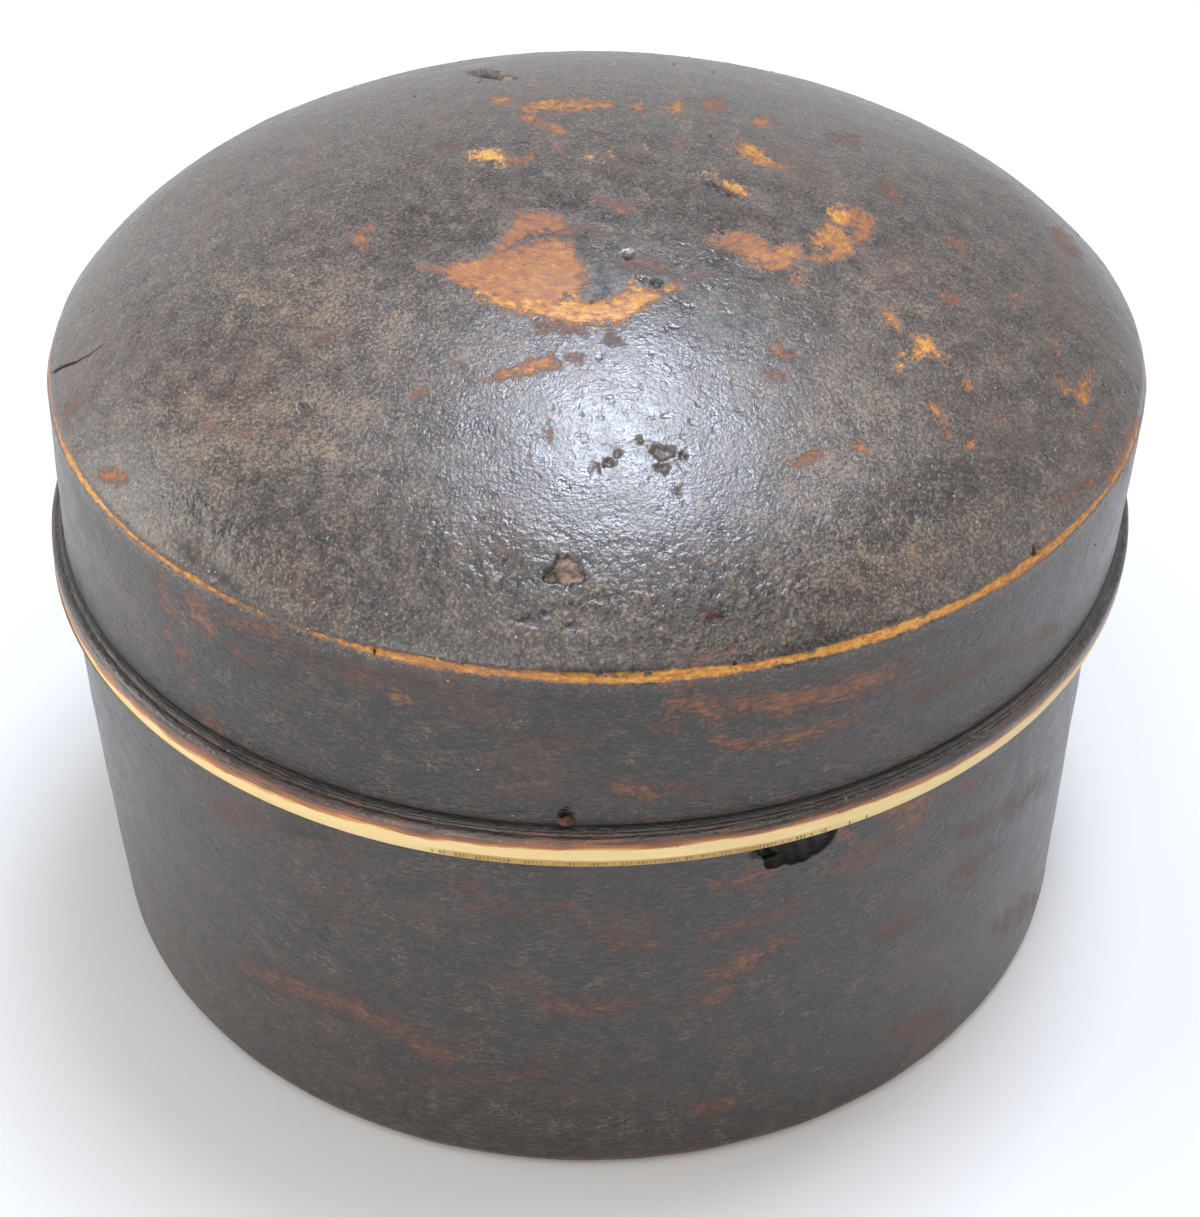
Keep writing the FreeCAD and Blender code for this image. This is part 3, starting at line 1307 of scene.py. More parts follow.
# What the photograph shows on the lid. A stroke is its depth, then across, down and
# reach at each point of its middle line, in pixels.
LID_MARKS: dict[Mark, Rows] = {
    Mark.WORN: (
        # The great patch on the crown.
        (0.5, 416, 264, 2, 432, 268, 4, 452, 271, 9),
        (0.62, 452, 272, 10, 482, 276, 20, 515, 278, 28, 545, 280, 30),
        (0.5, 500, 246, 8, 528, 224, 14, 556, 222, 11), (0.4, 506, 212, 2, 526, 218, 6),
        (0.6, 520, 262, 18, 556, 262, 24, 570, 282, 18),
        (0.8, 478, 294, 7, 520, 303, 10, 570, 312, 13, 620, 312, 13),
        (0.8, 610, 312, 13, 640, 299, 13, 655, 293, 6), (0.84, 634, 289, 5, 632, 286, 3),
        (0.76, 640, 294, 7, 662, 292, 6, 678, 286, 3),
        (0.44, 498, 258, 7, 528, 248, 9, 556, 240, 7),
        # Small marks round it.
        (0.36, 604, 200, 6, 622, 206, 10, 632, 212, 5), (0.5, 593, 203, 3),
        (0.6, 638, 190, 2, 645, 197, 3), (0.26, 560, 232, 8, 585, 228, 7, 605, 235, 4),
        (0.2, 618, 262, 6, 650, 264, 9, 676, 272, 6), (0.3, 676, 284, 3, 700, 276, 3, 728, 276, 2),
        # Pale patch, far arc and far dots.
        (0.98, 473, 155, 5, 488, 155, 8, 503, 160, 6),
        (0.42, 506, 158, 6, 530, 158, 7, 545, 160, 4), (0.2, 436, 146, 5, 456, 144, 4),
        (0.66, 496, 100, 6, 506, 100, 5),
        (0.66, 530, 107, 5, 552, 105, 8, 580, 106, 7, 606, 105, 5),
        (0.54, 528, 107, 7, 526, 115, 7, 540, 122, 5, 560, 130, 6), (0.6, 610, 106, 6),
        (0.68, 634, 107, 6, 640, 107, 6), (0.64, 672, 107, 7, 680, 107, 6),
        (0.46, 706, 105, 7, 720, 104, 6), (0.62, 760, 122, 7, 768, 122, 5), (0.4, 718, 122, 4),
        (0.3, 830, 136, 5, 856, 141, 5), (0.5, 559, 149, 4), (0.9, 590, 158, 3), (0.9, 614, 152, 3),
        (0.9, 645, 148, 3),
        # Star and pale sliver.
        (0.72, 738, 148, 5, 756, 154, 10, 768, 162, 6), (0.62, 765, 163, 5, 793, 167, 2),
        (0.52, 728, 150, 3, 742, 144, 5), (0.42, 674, 143, 4, 684, 147, 4),
        (0.84, 703, 174, 3, 716, 180, 4, 732, 187, 6, 743, 194, 5), (0.5, 722, 186, 3, 744, 196, 3),
        # The two patches right of the crown, and reds beyond.
        (0.54, 712, 240, 7, 735, 241, 14, 757, 249, 16),
        (0.66, 757, 254, 13, 778, 258, 13, 795, 251, 8), (0.62, 760, 266, 6, 788, 267, 5),
        (0.8, 832, 212, 8, 842, 217, 11), (0.52, 856, 216, 12, 870, 222, 8, 862, 236, 11),
        (0.68, 816, 242, 9, 832, 236, 14, 844, 248, 12), (0.58, 816, 259, 5, 842, 255, 8),
        (0.62, 794, 281, 3, 804, 276, 3), (0.28, 884, 186, 8, 896, 198, 8), (0.4, 905, 236, 4),
        (0.4, 948, 236, 5, 958, 248, 6, 968, 258, 3), (0.3, 1056, 232, 6, 1076, 256, 5),
        # Bright ochre, and the chain of orange below it.
        (0.72, 887, 314, 6, 896, 322, 6, 902, 332, 3),
        (0.86, 912, 356, 5, 924, 346, 10, 938, 353, 6),
        (0.9, 906, 352, 4, 898, 364, 4, 892, 367, 3), (0.6, 936, 354, 5, 948, 356, 3),
        (0.4, 946, 296, 7, 958, 302, 7), (0.36, 884, 298, 3, 896, 302, 3),
        (0.5, 1014, 296, 3, 1020, 306, 4), (0.66, 999, 361, 4), (0.62, 962, 380, 3, 968, 388, 5),
        (0.5, 954, 368, 3), (0.66, 932, 406, 6, 944, 414, 7), (0.5, 942, 424, 6, 950, 436, 5),
        (0.54, 968, 444, 8, 978, 440, 4), (0.42, 978, 402, 4), (0.42, 996, 420, 4, 1002, 424, 3),
        # Angle at the right, and the right edge.
        (0.62, 1056, 380, 4, 1066, 390, 6, 1078, 394, 5),
        (0.6, 1086, 376, 6, 1086, 392, 7, 1082, 408, 5), (0.46, 1056, 412, 5, 1052, 420, 4),
        (0.56, 1056, 344, 3, 1058, 356, 3), (0.42, 1098, 424, 6, 1092, 436, 5),
        (0.5, 1136, 420, 4, 1128, 450, 5, 1112, 478, 5), (0.36, 1060, 500, 6, 1095, 480, 5),
        # Star at the left, and smears in front of the great patch.
        (0.48, 351, 230, 6, 358, 238, 9, 363, 247, 5), (0.46, 360, 234, 6, 374, 227, 4),
        (0.46, 387, 236, 3), (0.64, 488, 380, 4, 508, 374, 6, 528, 368, 8, 552, 362, 7),
        (0.42, 560, 360, 4, 580, 356, 4), (0.46, 454, 362, 3, 462, 374, 4),
        (0.42, 410, 402, 4, 426, 390, 4), (0.3, 608, 336, 6, 620, 342, 4),
        (0.4, 540, 326, 5, 552, 322, 6, 585, 330, 5), (0.58, 774, 352, 7, 790, 357, 7),
        (0.6, 775, 354, 3), (0.46, 768, 374, 6, 784, 378, 5), (0.58, 857, 443, 7, 863, 450, 6),
        (0.5, 792, 464, 4, 802, 459, 6, 822, 452, 4), (0.6, 547, 432, 3, 549, 442, 3),
        (0.42, 892, 484, 4, 908, 480, 3),
        # Specks at the left.
        (0.4, 348, 474, 4, 362, 476, 3), (0.3, 313, 340, 4, 326, 336, 4), (0.42, 167, 399, 4),
        (0.7, 118, 388, 2), (0.4, 207, 426, 5, 228, 432, 4), (0.44, 238, 434, 4, 256, 432, 3),
        (0.4, 272, 434, 3, 290, 438, 4), (0.3, 66, 412, 7, 80, 396, 6),
        (0.5, 102, 473, 7, 122, 479, 6),
        # Foot of the dome.
        (0.34, 684, 662, 5, 720, 656, 5, 740, 650, 3), (0.16, 700, 612, 8, 735, 626, 7),
        # Skirt.
        (0.38, 738, 706, 8, 790, 702, 12, 850, 688, 12, 892, 672, 8),
        (0.3, 815, 690, 6, 870, 672, 7, 905, 660, 4),
        (0.46, 716, 740, 4, 750, 744, 5, 800, 736, 5, 860, 718, 3),
        (0.4, 672, 702, 6, 700, 708, 9, 724, 716, 6), (0.34, 686, 686, 5, 706, 684, 5),
        (0.3, 655, 730, 4, 672, 726, 5), (0.34, 612, 786, 7, 640, 790, 9, 654, 792, 5),
        (0.22, 672, 786, 5, 712, 786, 4), (0.2, 905, 700, 7, 950, 680, 6, 1000, 650, 6),
        (0.3, 1016, 650, 5, 1050, 628, 4), (0.2, 515, 742, 4, 560, 740, 5, 590, 736, 4),
        # Left end of the skirt.
        (0.46, 160, 578, 4, 163, 598, 5, 172, 612, 4),
        (0.52, 192, 600, 6, 200, 616, 8, 208, 626, 5), (0.4, 168, 630, 3, 184, 660, 3, 190, 676, 2),
        (0.34, 232, 620, 5, 262, 630, 8, 274, 632, 4), (0.26, 280, 644, 4, 305, 652, 4),
        (0.18, 232, 650, 6, 260, 664, 5), (0.44, 395, 697, 4, 400, 700, 3),
        (0.2, 350, 672, 8, 385, 684, 6), (0.42, 200, 712, 3, 216, 728, 3),
    ),
    Mark.GRIT: (
        (0.8, 170, 420, 40, 250, 440, 60, 330, 420, 60),
        (0.7, 240, 300, 40, 330, 310, 60, 400, 330, 50),
        (1, 120, 500, 16, 200, 555, 18, 300, 600, 22, 400, 630, 22),
        (1, 130, 495, 10, 145, 505, 12), (0.6, 480, 610, 22, 560, 630, 26, 640, 610, 22),
        (0.7, 430, 330, 30, 520, 340, 24), (0.9, 800, 380, 40, 880, 420, 50, 820, 470, 50),
        (0.7, 870, 290, 30, 930, 310, 30), (0.7, 820, 560, 40, 900, 560, 40, 980, 530, 30),
        (0.8, 1000, 540, 12, 1060, 505, 16, 1100, 480, 10),
    ),
    Mark.LEATHER: (
        (1, 430, 560, 20, 560, 600, 40, 700, 600, 30, 820, 590, 20),
        (1, 330, 600, 5, 470, 640, 10, 620, 640, 12, 800, 600, 10),
        (0.6, 860, 540, 20, 930, 500, 20, 1000, 470, 10),
        (0.5, 190, 520, 10, 260, 560, 20, 330, 560, 20),
    ),
    Mark.GRIME_AND_SHADE: (
        (0.55, 788, 352, 2.5, 808, 378, 2, 816, 386, 1),
        (0.6, 708, 320, 3, 738, 326, 4, 765, 320, 3), (0.75, 706, 182, 3, 722, 190, 4, 738, 196, 3),
        (0.45, 600, 270, 7, 606, 292, 6, 592, 300, 4), (0.5, 545, 668, 4, 600, 672, 6, 660, 670, 4),
        (0.4, 180, 545, 5, 215, 575, 7, 240, 590, 5),
    ),
}

# What it shows on the base.
BASE_MARKS: dict[Mark, Rows] = {
    Mark.WORN: (
        # Under the band and round the chip.
        (0.56, 842, 832, 4, 848, 836, 6), (0.5, 880, 812, 5, 905, 808, 8, 930, 800, 6),
        (0.52, 900, 826, 5, 915, 820, 6), (0.36, 955, 792, 5, 985, 778, 5),
        (0.3, 838, 868, 6, 862, 852, 8, 890, 838, 6), (0.34, 715, 884, 4, 750, 880, 7, 772, 868, 6),
        (0.26, 700, 940, 4, 750, 925, 6, 800, 905, 4),
        (0.34, 708, 978, 6, 740, 966, 9, 782, 940, 7), (0.24, 700, 1002, 8, 724, 992, 10),
        (0.16, 880, 935, 8, 920, 910, 8), (0.18, 960, 880, 8, 985, 850, 8),
        (0.2, 960, 835, 5, 1000, 812, 6, 1040, 780, 4),
        # Drifts along the turning.
        (0.22, 240, 965, 8, 290, 985, 10, 350, 1005, 10, 400, 1030, 8),
        (0.28, 410, 1040, 8, 450, 1058, 9), (0.2, 226, 808, 6, 250, 820, 7),
        (0.22, 304, 888, 3, 330, 910, 3, 345, 930, 4), (0.22, 440, 880, 5, 480, 888, 6),
        (0.24, 470, 908, 4, 520, 912, 5, 570, 906, 4), (0.22, 600, 938, 6, 660, 944, 6),
        (0.24, 545, 1006, 7, 590, 1010, 8, 640, 1000, 6),
        (0.16, 420, 1080, 5, 470, 1084, 6, 560, 1070, 5), (0.24, 700, 1110, 7, 730, 1100, 8),
        (0.18, 900, 1030, 8, 940, 1010, 7), (0.2, 1000, 930, 7, 1030, 900, 6),
    ),
    # Dark strokes along the rim under the lid's edge: painted shade in the seam.
    Mark.GRIME_AND_SHADE: (
        (0.9, 505, 862, 3, 560, 868, 3), (0.75, 745, 842, 4, 775, 846, 6),
        (0.5, 280, 824, 5, 330, 842, 5),
    ),
}

# Hollows of lid and base, with their values in the order of Hollow's fields.
LID_HOLLOWS = tuple(Hollow(*row) for row in (
    # Flaked chip, and the pits in the gloss.
    ((567, 571), 42, 34, 0.00045, 0.15, 0.3, 0, 0.66, 0.4),
    ((551, 577), 17, 15, 0.0004, 0.4, 0.3, 0.1, 0.6, 0.2),
    ((512, 572), 26, 44, 0.00022, 0.2, 0.3, 0.05, 0.4, 0.05),
    ((663, 452), 31, 16, 0.0004, 0.1, 0.5, 0.06, 0.55, 0.12),
    ((663, 468), 19, 9, 0.0003, 0, 0.6, 0.06, 0.52, 0.12),
    ((683, 455), 10, 10, 0.0004, 0, 0.6, 0.3, 0.5, 0.1),
    ((680, 491), 11, 7, 0.0003, 0, 0.5, 0.2, 0.5, 0.1),
    ((609, 463), 16, 9, 0.0004, 0, 0.6, 0.3, 0.5, 0.1),
    ((617, 455), 8, 6, 0.0003, 0, 0.6, 0.2, 0.5, 0.1),
    ((640, 442), 7, 5, 0.0003, 0, 0.6, 0.2, 0.5, 0.1),
    ((596, 468), 10, 10, 0.0003, 0, 0.6, 0.2, 0.5, 0.1),
    # Pits and cuts on the crown.
    ((305, 408), 18, 12, 0.0006, 0.5, 0.5, 0.6, 0.4, 0.7),
    ((487, 74), 38, 10, 0.0011, 0.1, 0.5, 0.9), ((508, 78), 20, 6, 0.0003, 0, 0.5, 0, 0.8, 0.55),
    ((657, 282), 14, 9, 0.0006, 0, 0.5, 0.8), ((628, 256), 12, 8, 0.0006, 0, 0.5, 0.7),
    ((722, 189), 40, 9, 0.0008, 0.45, 0.5, 0.8),
    # Rough foot of the dome.
    ((585, 618), 90, 34, 0.0003, 0, 0.9), ((530, 622), 26, 12, 0.0004, 0.1, 0.5, 0.35),
    ((572, 626), 18, 9, 0.0004, -0.1, 0.5, 0.45), ((548, 614), 14, 8, 0.0003, 0, 0.5, 0.4),
    ((716, 618), 26, 10, 0.0004, -0.2, 0.4, 0.4), ((602, 600), 20, 8, 0.0003, 0, 0.5, 0.3),
    ((205, 560), 42, 60, 0.0004, 0.6, 0.6, 0.1), ((330, 525), 70, 36, 0.0003, 0.1, 0.7),
    # Nicks in the arris, and specks in the band.
    ((1036, 553), 8, 12, 0.0006, 0, 0.5, 0.9), ((735, 664), 6, 8, 0.0003, 0, 0.5, 0.8),
    ((374, 652), 5, 8, 0.0003, 0, 0.5, 0.9), ((795, 824), 5, 6, 0.0003, 0, 0.6, 0.9),
    ((838, 808), 4, 5, 0.0003, 0, 0.6, 0.9),
))

BASE_HOLLOWS = tuple(Hollow(*row) for row in (
    ((762, 853), 30, 13, 0.0008, -0.15, 0.5, 0.8), ((330, 925), 60, 90, 0.0004, -0.6, 0.9),
    ((475, 869), 7, 5, 0.0003, 0, 0.6, 0, 0.9, 0.9),
))


@dataclass
class Lid(TurnedPiece):
    """The domed lid with its skirt, groove, bead, worn flange and crack."""

    arris_wear: float = 0.00056
    # Round the flange: degrees, how far the band's upper edge is lowered, how softly it ends. The
    # broader, softer brown on the left side is partly worn wood and partly painted light, the brown
    # of the lit side.
    band_table: Rows = (
        (-180, 0.6, 1.2), (-120, 2.2, 1.7), (-80, 2.6, 1.9), (-62, 2.1, 2.0), (-45, 1.7, 2.0),
        (-30, 1.35, 1.9), (-15, 0.75, 1.5), (0, 0.2, 1.2), (20, 0.5, 1.1), (35, 1.0, 1.1),
        (50, 1.35, 1.1), (70, 1.7, 1.2), (90, 2.3, 1.3), (130, 1.4, 1.3), (180, 0.6, 1.2),
    )
    crack_path: tuple[Pixel, ...] = ((53, 373), (62, 367), (76, 362), (90, 354), (104, 344))
    crack_width: float = 0.0005
    crack_depth: float = 0.0012
    tick_count: int = 1440
    crumb_pixel: Pixel = (564.0, 818.0)
    crumb_size: tuple[float, float, float] = (0.0019, 0.0012, 0.0012)
    crumb_outwards: float = 0.0006

    def outline(self) -> Outline:
        """Draws the lid's section.

        Returns:
            The section, from the middle of the inside to the apex.
        """
        s, dome, depth = self.sizes, DomeCurve(self.sizes), self.sizes.dome_thickness
        raw, coated, bore_top = Cover.RAW_WOOD, Cover.LACQUER, s.neck_top + s.head_clearance
        section = Outline([complex(0, s.apex - depth)])
        section.arc(raw, self.raw_step, dome.crown_centre, dome.blend_under(depth))
        section.arc(raw, self.raw_step, dome.shoulder_centre, dome.under(s.bowl_radius, depth))
        section.lines(
            raw,
            self.raw_step,
            complex(s.bowl_radius, bore_top),
            complex(s.bore_radius, bore_top),
            complex(s.bore_radius, s.seam + s.neck_lead),
            complex(s.bore_radius + s.neck_lead, s.seam),
            complex(s.flange_radius - s.stained_band_taper, s.seam),
        )
        self.draw_flange(section)
        worn_radius = s.arris_radius + s.worn_drop * s.skirt_draw_in / s.skirt_height
        section.lines(coated, self.skin_step, complex(worn_radius, s.arris - s.worn_drop))
        section.lines(coated, self.skin_step / 2, dome.under(s.arris_radius - s.worn_inset, 0.0))
        section.arc(coated, self.skin_step, dome.shoulder_centre, dome.blend)
        section.arc(coated, self.skin_step, dome.crown_centre, complex(0, s.apex))
        return section

    def draw_flange(self, section: Outline) -> None:
        """Draws the flange, its bead and the groove under the skirt.

        Args:
            section: the lid's section, drawn as far as the seam.
        """
        s, coated = self.sizes, Cover.LACQUER
        stained_top = s.seam + s.stained_band_height
        inner = s.flange_radius - s.shoulder
        root = inner - s.quirk
        section.lines(coated, s.stained_band_height / 2, complex(s.flange_radius, stained_top))
        section.lines(coated, s.bare_band_height / 3, complex(s.flange_radius, s.bare_top))
        ends = complex(inner, s.bare_top), complex(inner, s.shoulder_top)
        section.arc(coated, s.shoulder / 3, *ends)
        quirk = complex(root, s.shoulder_top)
        section.lines(coated, s.quirk, quirk + 0.3 * s.quirk, quirk + 0.6j * s.quirk)
        middle = quirk + 1j * s.bead
        for end in (middle + s.bead, middle + 1j * s.bead):
            section.arc(coated, s.bead / 2.5, middle, end)
        groove = complex(s.skirt_foot_radius - s.groove_depth, s.bead_top)
        foot = complex(s.skirt_foot_radius, s.bead_top + s.groove_width)
        section.lines(coated, s.groove_width, groove, foot)

    def build(self) -> Piece:
        """Makes the lid with its chips, its crack and its wear.

        Returns:
            The blank, before the skin tree has run on it.
        """
        s = self.sizes
        self.turn()
        self.refine(self.hollow_places(), 2)
        self.refine([(point, 3 * self.crack_width) for point in self.crack_line()], 3)
        self.mark()
        self.raise_to(Mark.GRIME_AND_SHADE, self.open_crack())
        radius, height, angle = self.polar()
        self.wear_arris(radius, height, angle)
        away = np.hypot(radius - s.skirt_foot_radius, height - s.bead_top - s.groove_width)
        width = 0.0003 * (np.sin(2 * angle + 1) + 0.5 * np.sin(9 * angle))
        self.lay(np.clip(0.42 + (width - away) / 0.0018, 0, 0.6), 0.4)
        groove, rise = s.skirt_foot_radius - s.groove_depth, (height - s.seam) * 1000
        # Painted shade: the groove under the skirt is darkened towards black, fading out within
        # about 1.3 millimetres.
        away = np.hypot(radius - groove, height - s.bead_top)
        self.raise_to(Mark.GRIME_AND_SHADE, np.clip(1.3 - away / 0.001, 0, 1))
        write_values(
            self.mesh,
            band_rise=rise,
            band=self.band(angle, rise),
            on_flange=(height < s.bead_top + 1e-6) & (radius > groove + 5e-5),
            stained=self.stained_share(angle),
        )
        skin = (self.value("outside") > 0.5) & (height > s.seam + 1e-5)
        self.save(np.where(height < s.bead_top + 2 * s.groove_width, 0.45, 1.0) * skin)
        return self.blank

    def wear_arris(self, radius: Array, height: Array, angle: Array) -> None:
        """Wears the arris through to ochre wood, in a line of changing width.

        Args:
            radius: distance of each vertex from the axis.
            height: height of each vertex.
            angle: where each vertex lies round the axis, 0 in front.
        """
        away = np.hypot(radius - self.sizes.arris_radius, height - self.sizes.arris)
        width = 1 + 0.22 * np.sin(3 * angle + 0.6) + 0.16 * np.sin(7 * angle + 2.1)
        width = self.arris_wear * (width + 0.15 * np.sin(17 * angle + 0.4))
        width += 0.00004 * np.sin(angle)
        faded = np.exp(-(((angle + 1.75) % (2 * math.pi)) / 0.32) ** 2)
        faded += np.exp(-((angle - 2.6) / 0.25) ** 2)
        width *= 1 - 0.6 * np.clip(faded, 0, 1)
        depth = 0.84 + 0.06 * np.sin(5 * angle) + 0.05 * np.sin(13 * angle + 1)
        depth -= 0.5 * np.clip(away / width - 0.8, 0, 1)
        self.lay(np.clip(0.66 + (width - away) / 0.0009, 0, 1), depth)

    def band(self, angle: Array, rise: Array) -> Array:
        """Says how far up the fade from bare wood to lacquer each place of the flange lies.

        Args:
            angle: where each vertex lies round the axis, 0 in front.
            rise: its height over the seam in millimetres.

        Returns:
            The place in the colour ramp.
        """
        degrees, lowered, spread = np.array(self.band_table).T
        turned = np.degrees(angle)
        lowered, spread = (np.interp(turned, degrees, column) for column in (lowered, spread))
        return 0.33 + (rise - 3.2 + lowered) / (3 * spread)

    def stained_share(self, angle: Array) -> Array:
        """Says where round the flange its lower edge is stained and ticked by the tool.

        Args:
            angle: the places round the axis, 0 in front.

        Returns:
            The share of stain.
        """
        front = np.clip((angle + 0.27) / 0.06, 0, 1) * np.clip((0.46 - angle) / 0.22, 0, 1)
        back = np.clip(1.5 * np.sin(angle * 2.5 + 0.8) - 0.4, 0, 1) * (np.abs(angle) > 1.5)
        return np.maximum(front, back)

    def crack_line(self) -> Array:
        """Finds the crack on the mesh.

        Returns:
            Points close together along it.
        """
        corners = [self.anchor(pixel) for pixel in self.crack_path]
        shares = np.linspace(0, 1, 9)[:, None]
        return np.concatenate([start + (end - start) * shares for start, end in pairwise(corners)])

    def open_crack(self) -> Array:
        """Sinks the surface along the crack.

        Returns:
            How much it darkens the surface along the crack, for each vertex.
        """
        line, points, grime = self.crack_line(), self.points, np.zeros(len(self.mesh.vertices))
        near = np.flatnonzero(np.linalg.norm(points - line.mean(0), axis=1) < 0.03)
        away = np.linalg.norm(points[near, None] - line[None], axis=2)
        taper = np.clip(1.2 - np.argmin(away, axis=1) / len(line), 0.3, 1)
        share = np.clip(1.5 - away.min(1) / (self.crack_width / 2) / taper, 0, 1)
        grime[near] = share * self.value("outside")[near]
        self.move(points - self.normals * (grime * self.crack_depth)[:, None])
        return grime

    def tick_path(self) -> Piece:
        """Lays the line round the flange that the tool marks follow.

        Returns:
            A ring of edges that knows how stained the flange is.
        """
        s, count = self.sizes, self.tick_count
        angles = np.linspace(-math.pi, math.pi, count, endpoint=False)
        radius = s.flange_radius - s.stained_band_taper / 2
        height = np.full(count, s.seam + s.stained_band_height / 2)
        true = np.stack([radius * np.sin(angles), -radius * np.cos(angles), height], 1)
        placed = self.shrinkage.moved(true, np.ones(count), True, s)
        mesh = bpy.data.meshes.new("flange_path")
        ring = [(place, (place + 1) % count) for place in range(count)]
        mesh.from_pydata(placed.tolist(), ring, [])
        write_values(mesh, stained=0.8 * self.stained_share(angles))
        return show("flange_path", mesh)

    def crumb(self, finish: Finish) -> Piece:
        """Makes the crumb of dry earth that sticks in the groove above the bead.

        Args:
            finish: its material.

        Returns:
            The crumb.
        """
        place = self.anchor(self.crumb_pixel)
        place[:2] *= 1 + self.crumb_outwards / np.hypot(*place[:2])
        work = bmesh.new()
        bmesh.ops.create_icosphere(work, subdivisions=3, radius=0.5)
        points = np.array([vertex.co for vertex in work.verts])
        swell = 0.75 + 0.5 * soft_noise(points + 2, 0.35, SEED + 5)
        grown = place + points * swell[:, None] * self.crumb_size
        for vertex, point in zip(work.verts, grown):
            vertex.co = point
        mesh = bpy.data.meshes.new("groove_crumb")
        work.to_mesh(mesh)
        work.free()
        mesh.materials.append(finish)
        mesh.shade_smooth()
        return show("groove_crumb", mesh)


@dataclass
class Base(TurnedPiece):
    """The bowl with its raised neck, standing on a ring round a shallow hollow."""

    bite_pixel: Pixel = (809.0, 858.0)
    bite_width: float = 0.0056
    bite_inwards: float = 0.0042
    bite_height: float = 0.0079

    def outline(self) -> Outline:
        """Draws the base's section.

        Returns:
            The section, from the middle of the underside to the floor.
        """
        s, raw, coated = self.sizes, Cover.RAW_WOOD, Cover.LACQUER
        ring_outer = s.wall_radius - s.foot_edge
        ring_inner = ring_outer - s.rest_ring_width
        floor_top = s.underside_hollow + s.floor_thickness
        section = Outline([complex(0, s.underside_hollow)])
        under = complex(ring_inner - s.underside_lead, s.underside_hollow)
        section.lines(raw, self.raw_step, under, complex(ring_inner, 0), complex(ring_outer, 0))
        ends = complex(ring_outer, s.foot_edge), complex(s.wall_radius, s.foot_edge)
        section.arc(coated, self.skin_step / 2, *ends)
        section.lines(coated, self.skin_step, complex(s.wall_radius, s.seam - s.rim_edge))
        section.lines(coated, s.rim_edge, complex(s.wall_radius - s.rim_edge, s.seam))
        section.lines(raw, self.raw_step / 2, complex(s.neck_radius, s.seam))
        section.lines(
            raw,
            self.raw_step,
            complex(s.neck_radius, s.neck_top - s.neck_lead),
            complex(s.neck_radius - s.neck_lead, s.neck_top),
            complex(s.bowl_radius, s.neck_top),
            complex(s.bowl_radius, floor_top + s.bowl_corner),
        )
        middle = complex(s.bowl_radius - s.bowl_corner, floor_top + s.bowl_corner)
        section.arc(raw, self.raw_step, middle, middle - 1j * s.bowl_corner)
        section.lines(raw, self.raw_step, complex(0, floor_top))
        return section

    def build(self) -> Piece:
        """Makes the base with its broken rim and its wear.

        Returns:
            The blank, before the skin tree has run on it.
        """
        s = self.sizes
        self.turn()
        bite_place = self.anchor(self.bite_pixel), 1.15 * self.bite_height
        self.refine([*self.hollow_places(), bite_place], 2)
        bitten = self.bite()
        self.mark()
        # Painted shade: the broken hollow is darkened towards black.
        self.raise_to(Mark.GRIME_AND_SHADE, bitten)
        self.wear["worn"] *= 1 - bitten
        radius, height, angle = self.polar()
        inset = 0.3 * s.foot_edge
        away = np.hypot(radius - s.wall_radius + inset, height - inset)
        width = 0.0006 + 0.0003 * np.sin(2 * angle + 0.5) + 0.0002 * np.sin(11 * angle)
        self.lay(np.clip(0.5 + (width - away) / 0.0018, 0, 1), 0.46)
        write_values(self.mesh, band=0, band_rise=0, on_flange=0, stained=0)
        skin = (self.value("outside") > 0.5) & (height > 1e-5)
        skin &= height < s.seam - s.rim_edge / 2
        self.save(skin * np.clip((s.seam - height) / 0.002, 0, 1))
        return self.blank

    def bite(self) -> Array:
        """Breaks the chip out of the rim, through the wall and the shelf above it.

        Returns:
            How dark it is made, for each vertex: painted shade in the broken hollow.
        """
        s, points, (x, y, z) = self.sizes, self.points, self.turned.T
        middle = self.anchor(self.bite_pixel)
        radius = np.maximum(np.hypot(x, y), 1e-6)
        angle = np.arctan2(y, x) - math.atan2(middle[1], middle[0])
        across = ((angle + math.pi) % (2 * math.pi) - math.pi) * s.wall_radius / self.bite_width
        down = (s.seam - z) / self.bite_height
        inwards = (s.wall_radius - radius) / self.bite_inwards
        ragged = 1 + 0.03 * np.sin(7 * across + 2) + 0.015 * np.sin(17 * across)
        power = 2 + np.where(across < 0, 6.0, 0.6)
        reach = np.clip(1 - np.abs(across) ** power, 0, 1) ** (1 / power) * ragged
        safe = np.maximum(reach, 1e-6)
        on_wall = (radius > s.wall_radius - 1.01 * s.rim_edge) & (down >= 0)
        on_shelf = (np.abs(z - s.seam) < 1e-6) & (radius > s.neck_radius + 1e-4) & ~on_wall
        sweep = math.pi / 4 * (1 + np.where(on_wall, down, -inwards) / safe)
        hit = (reach > 0) & ((on_wall & (down < reach)) | (on_shelf & (inwards < reach)))
        sink_in = self.bite_inwards * (reach * np.cos(sweep) - inwards)
        sink_down = self.bite_height * (reach * np.sin(sweep) - down)
        sunk = np.stack([x / radius * sink_in, y / radius * sink_in, sink_down], 1)
        self.move(points - np.where(hit[:, None], sunk, 0))
        return np.where(hit, np.clip(3 * reach, 0, 1), 0.0)


@dataclass(frozen=True)
class Softbox:
    """A square soft light that is turned to the box."""

    name: str
    place: tuple[float, float, float]
    size: float
    power: float
    colour: str

    def build(self) -> None:
        """Makes the light."""
        data = bpy.data.lights.new(self.name, "AREA")
        data.shape = "SQUARE"
        data.size, data.energy, data.color = self.size, self.power, linear(self.colour)[:3]
        light = show(self.name, data)
        light.location = self.place
        light.rotation_euler = Vector(self.place).to_track_quat("Z", "Y").to_euler()
        light.visible_camera = False


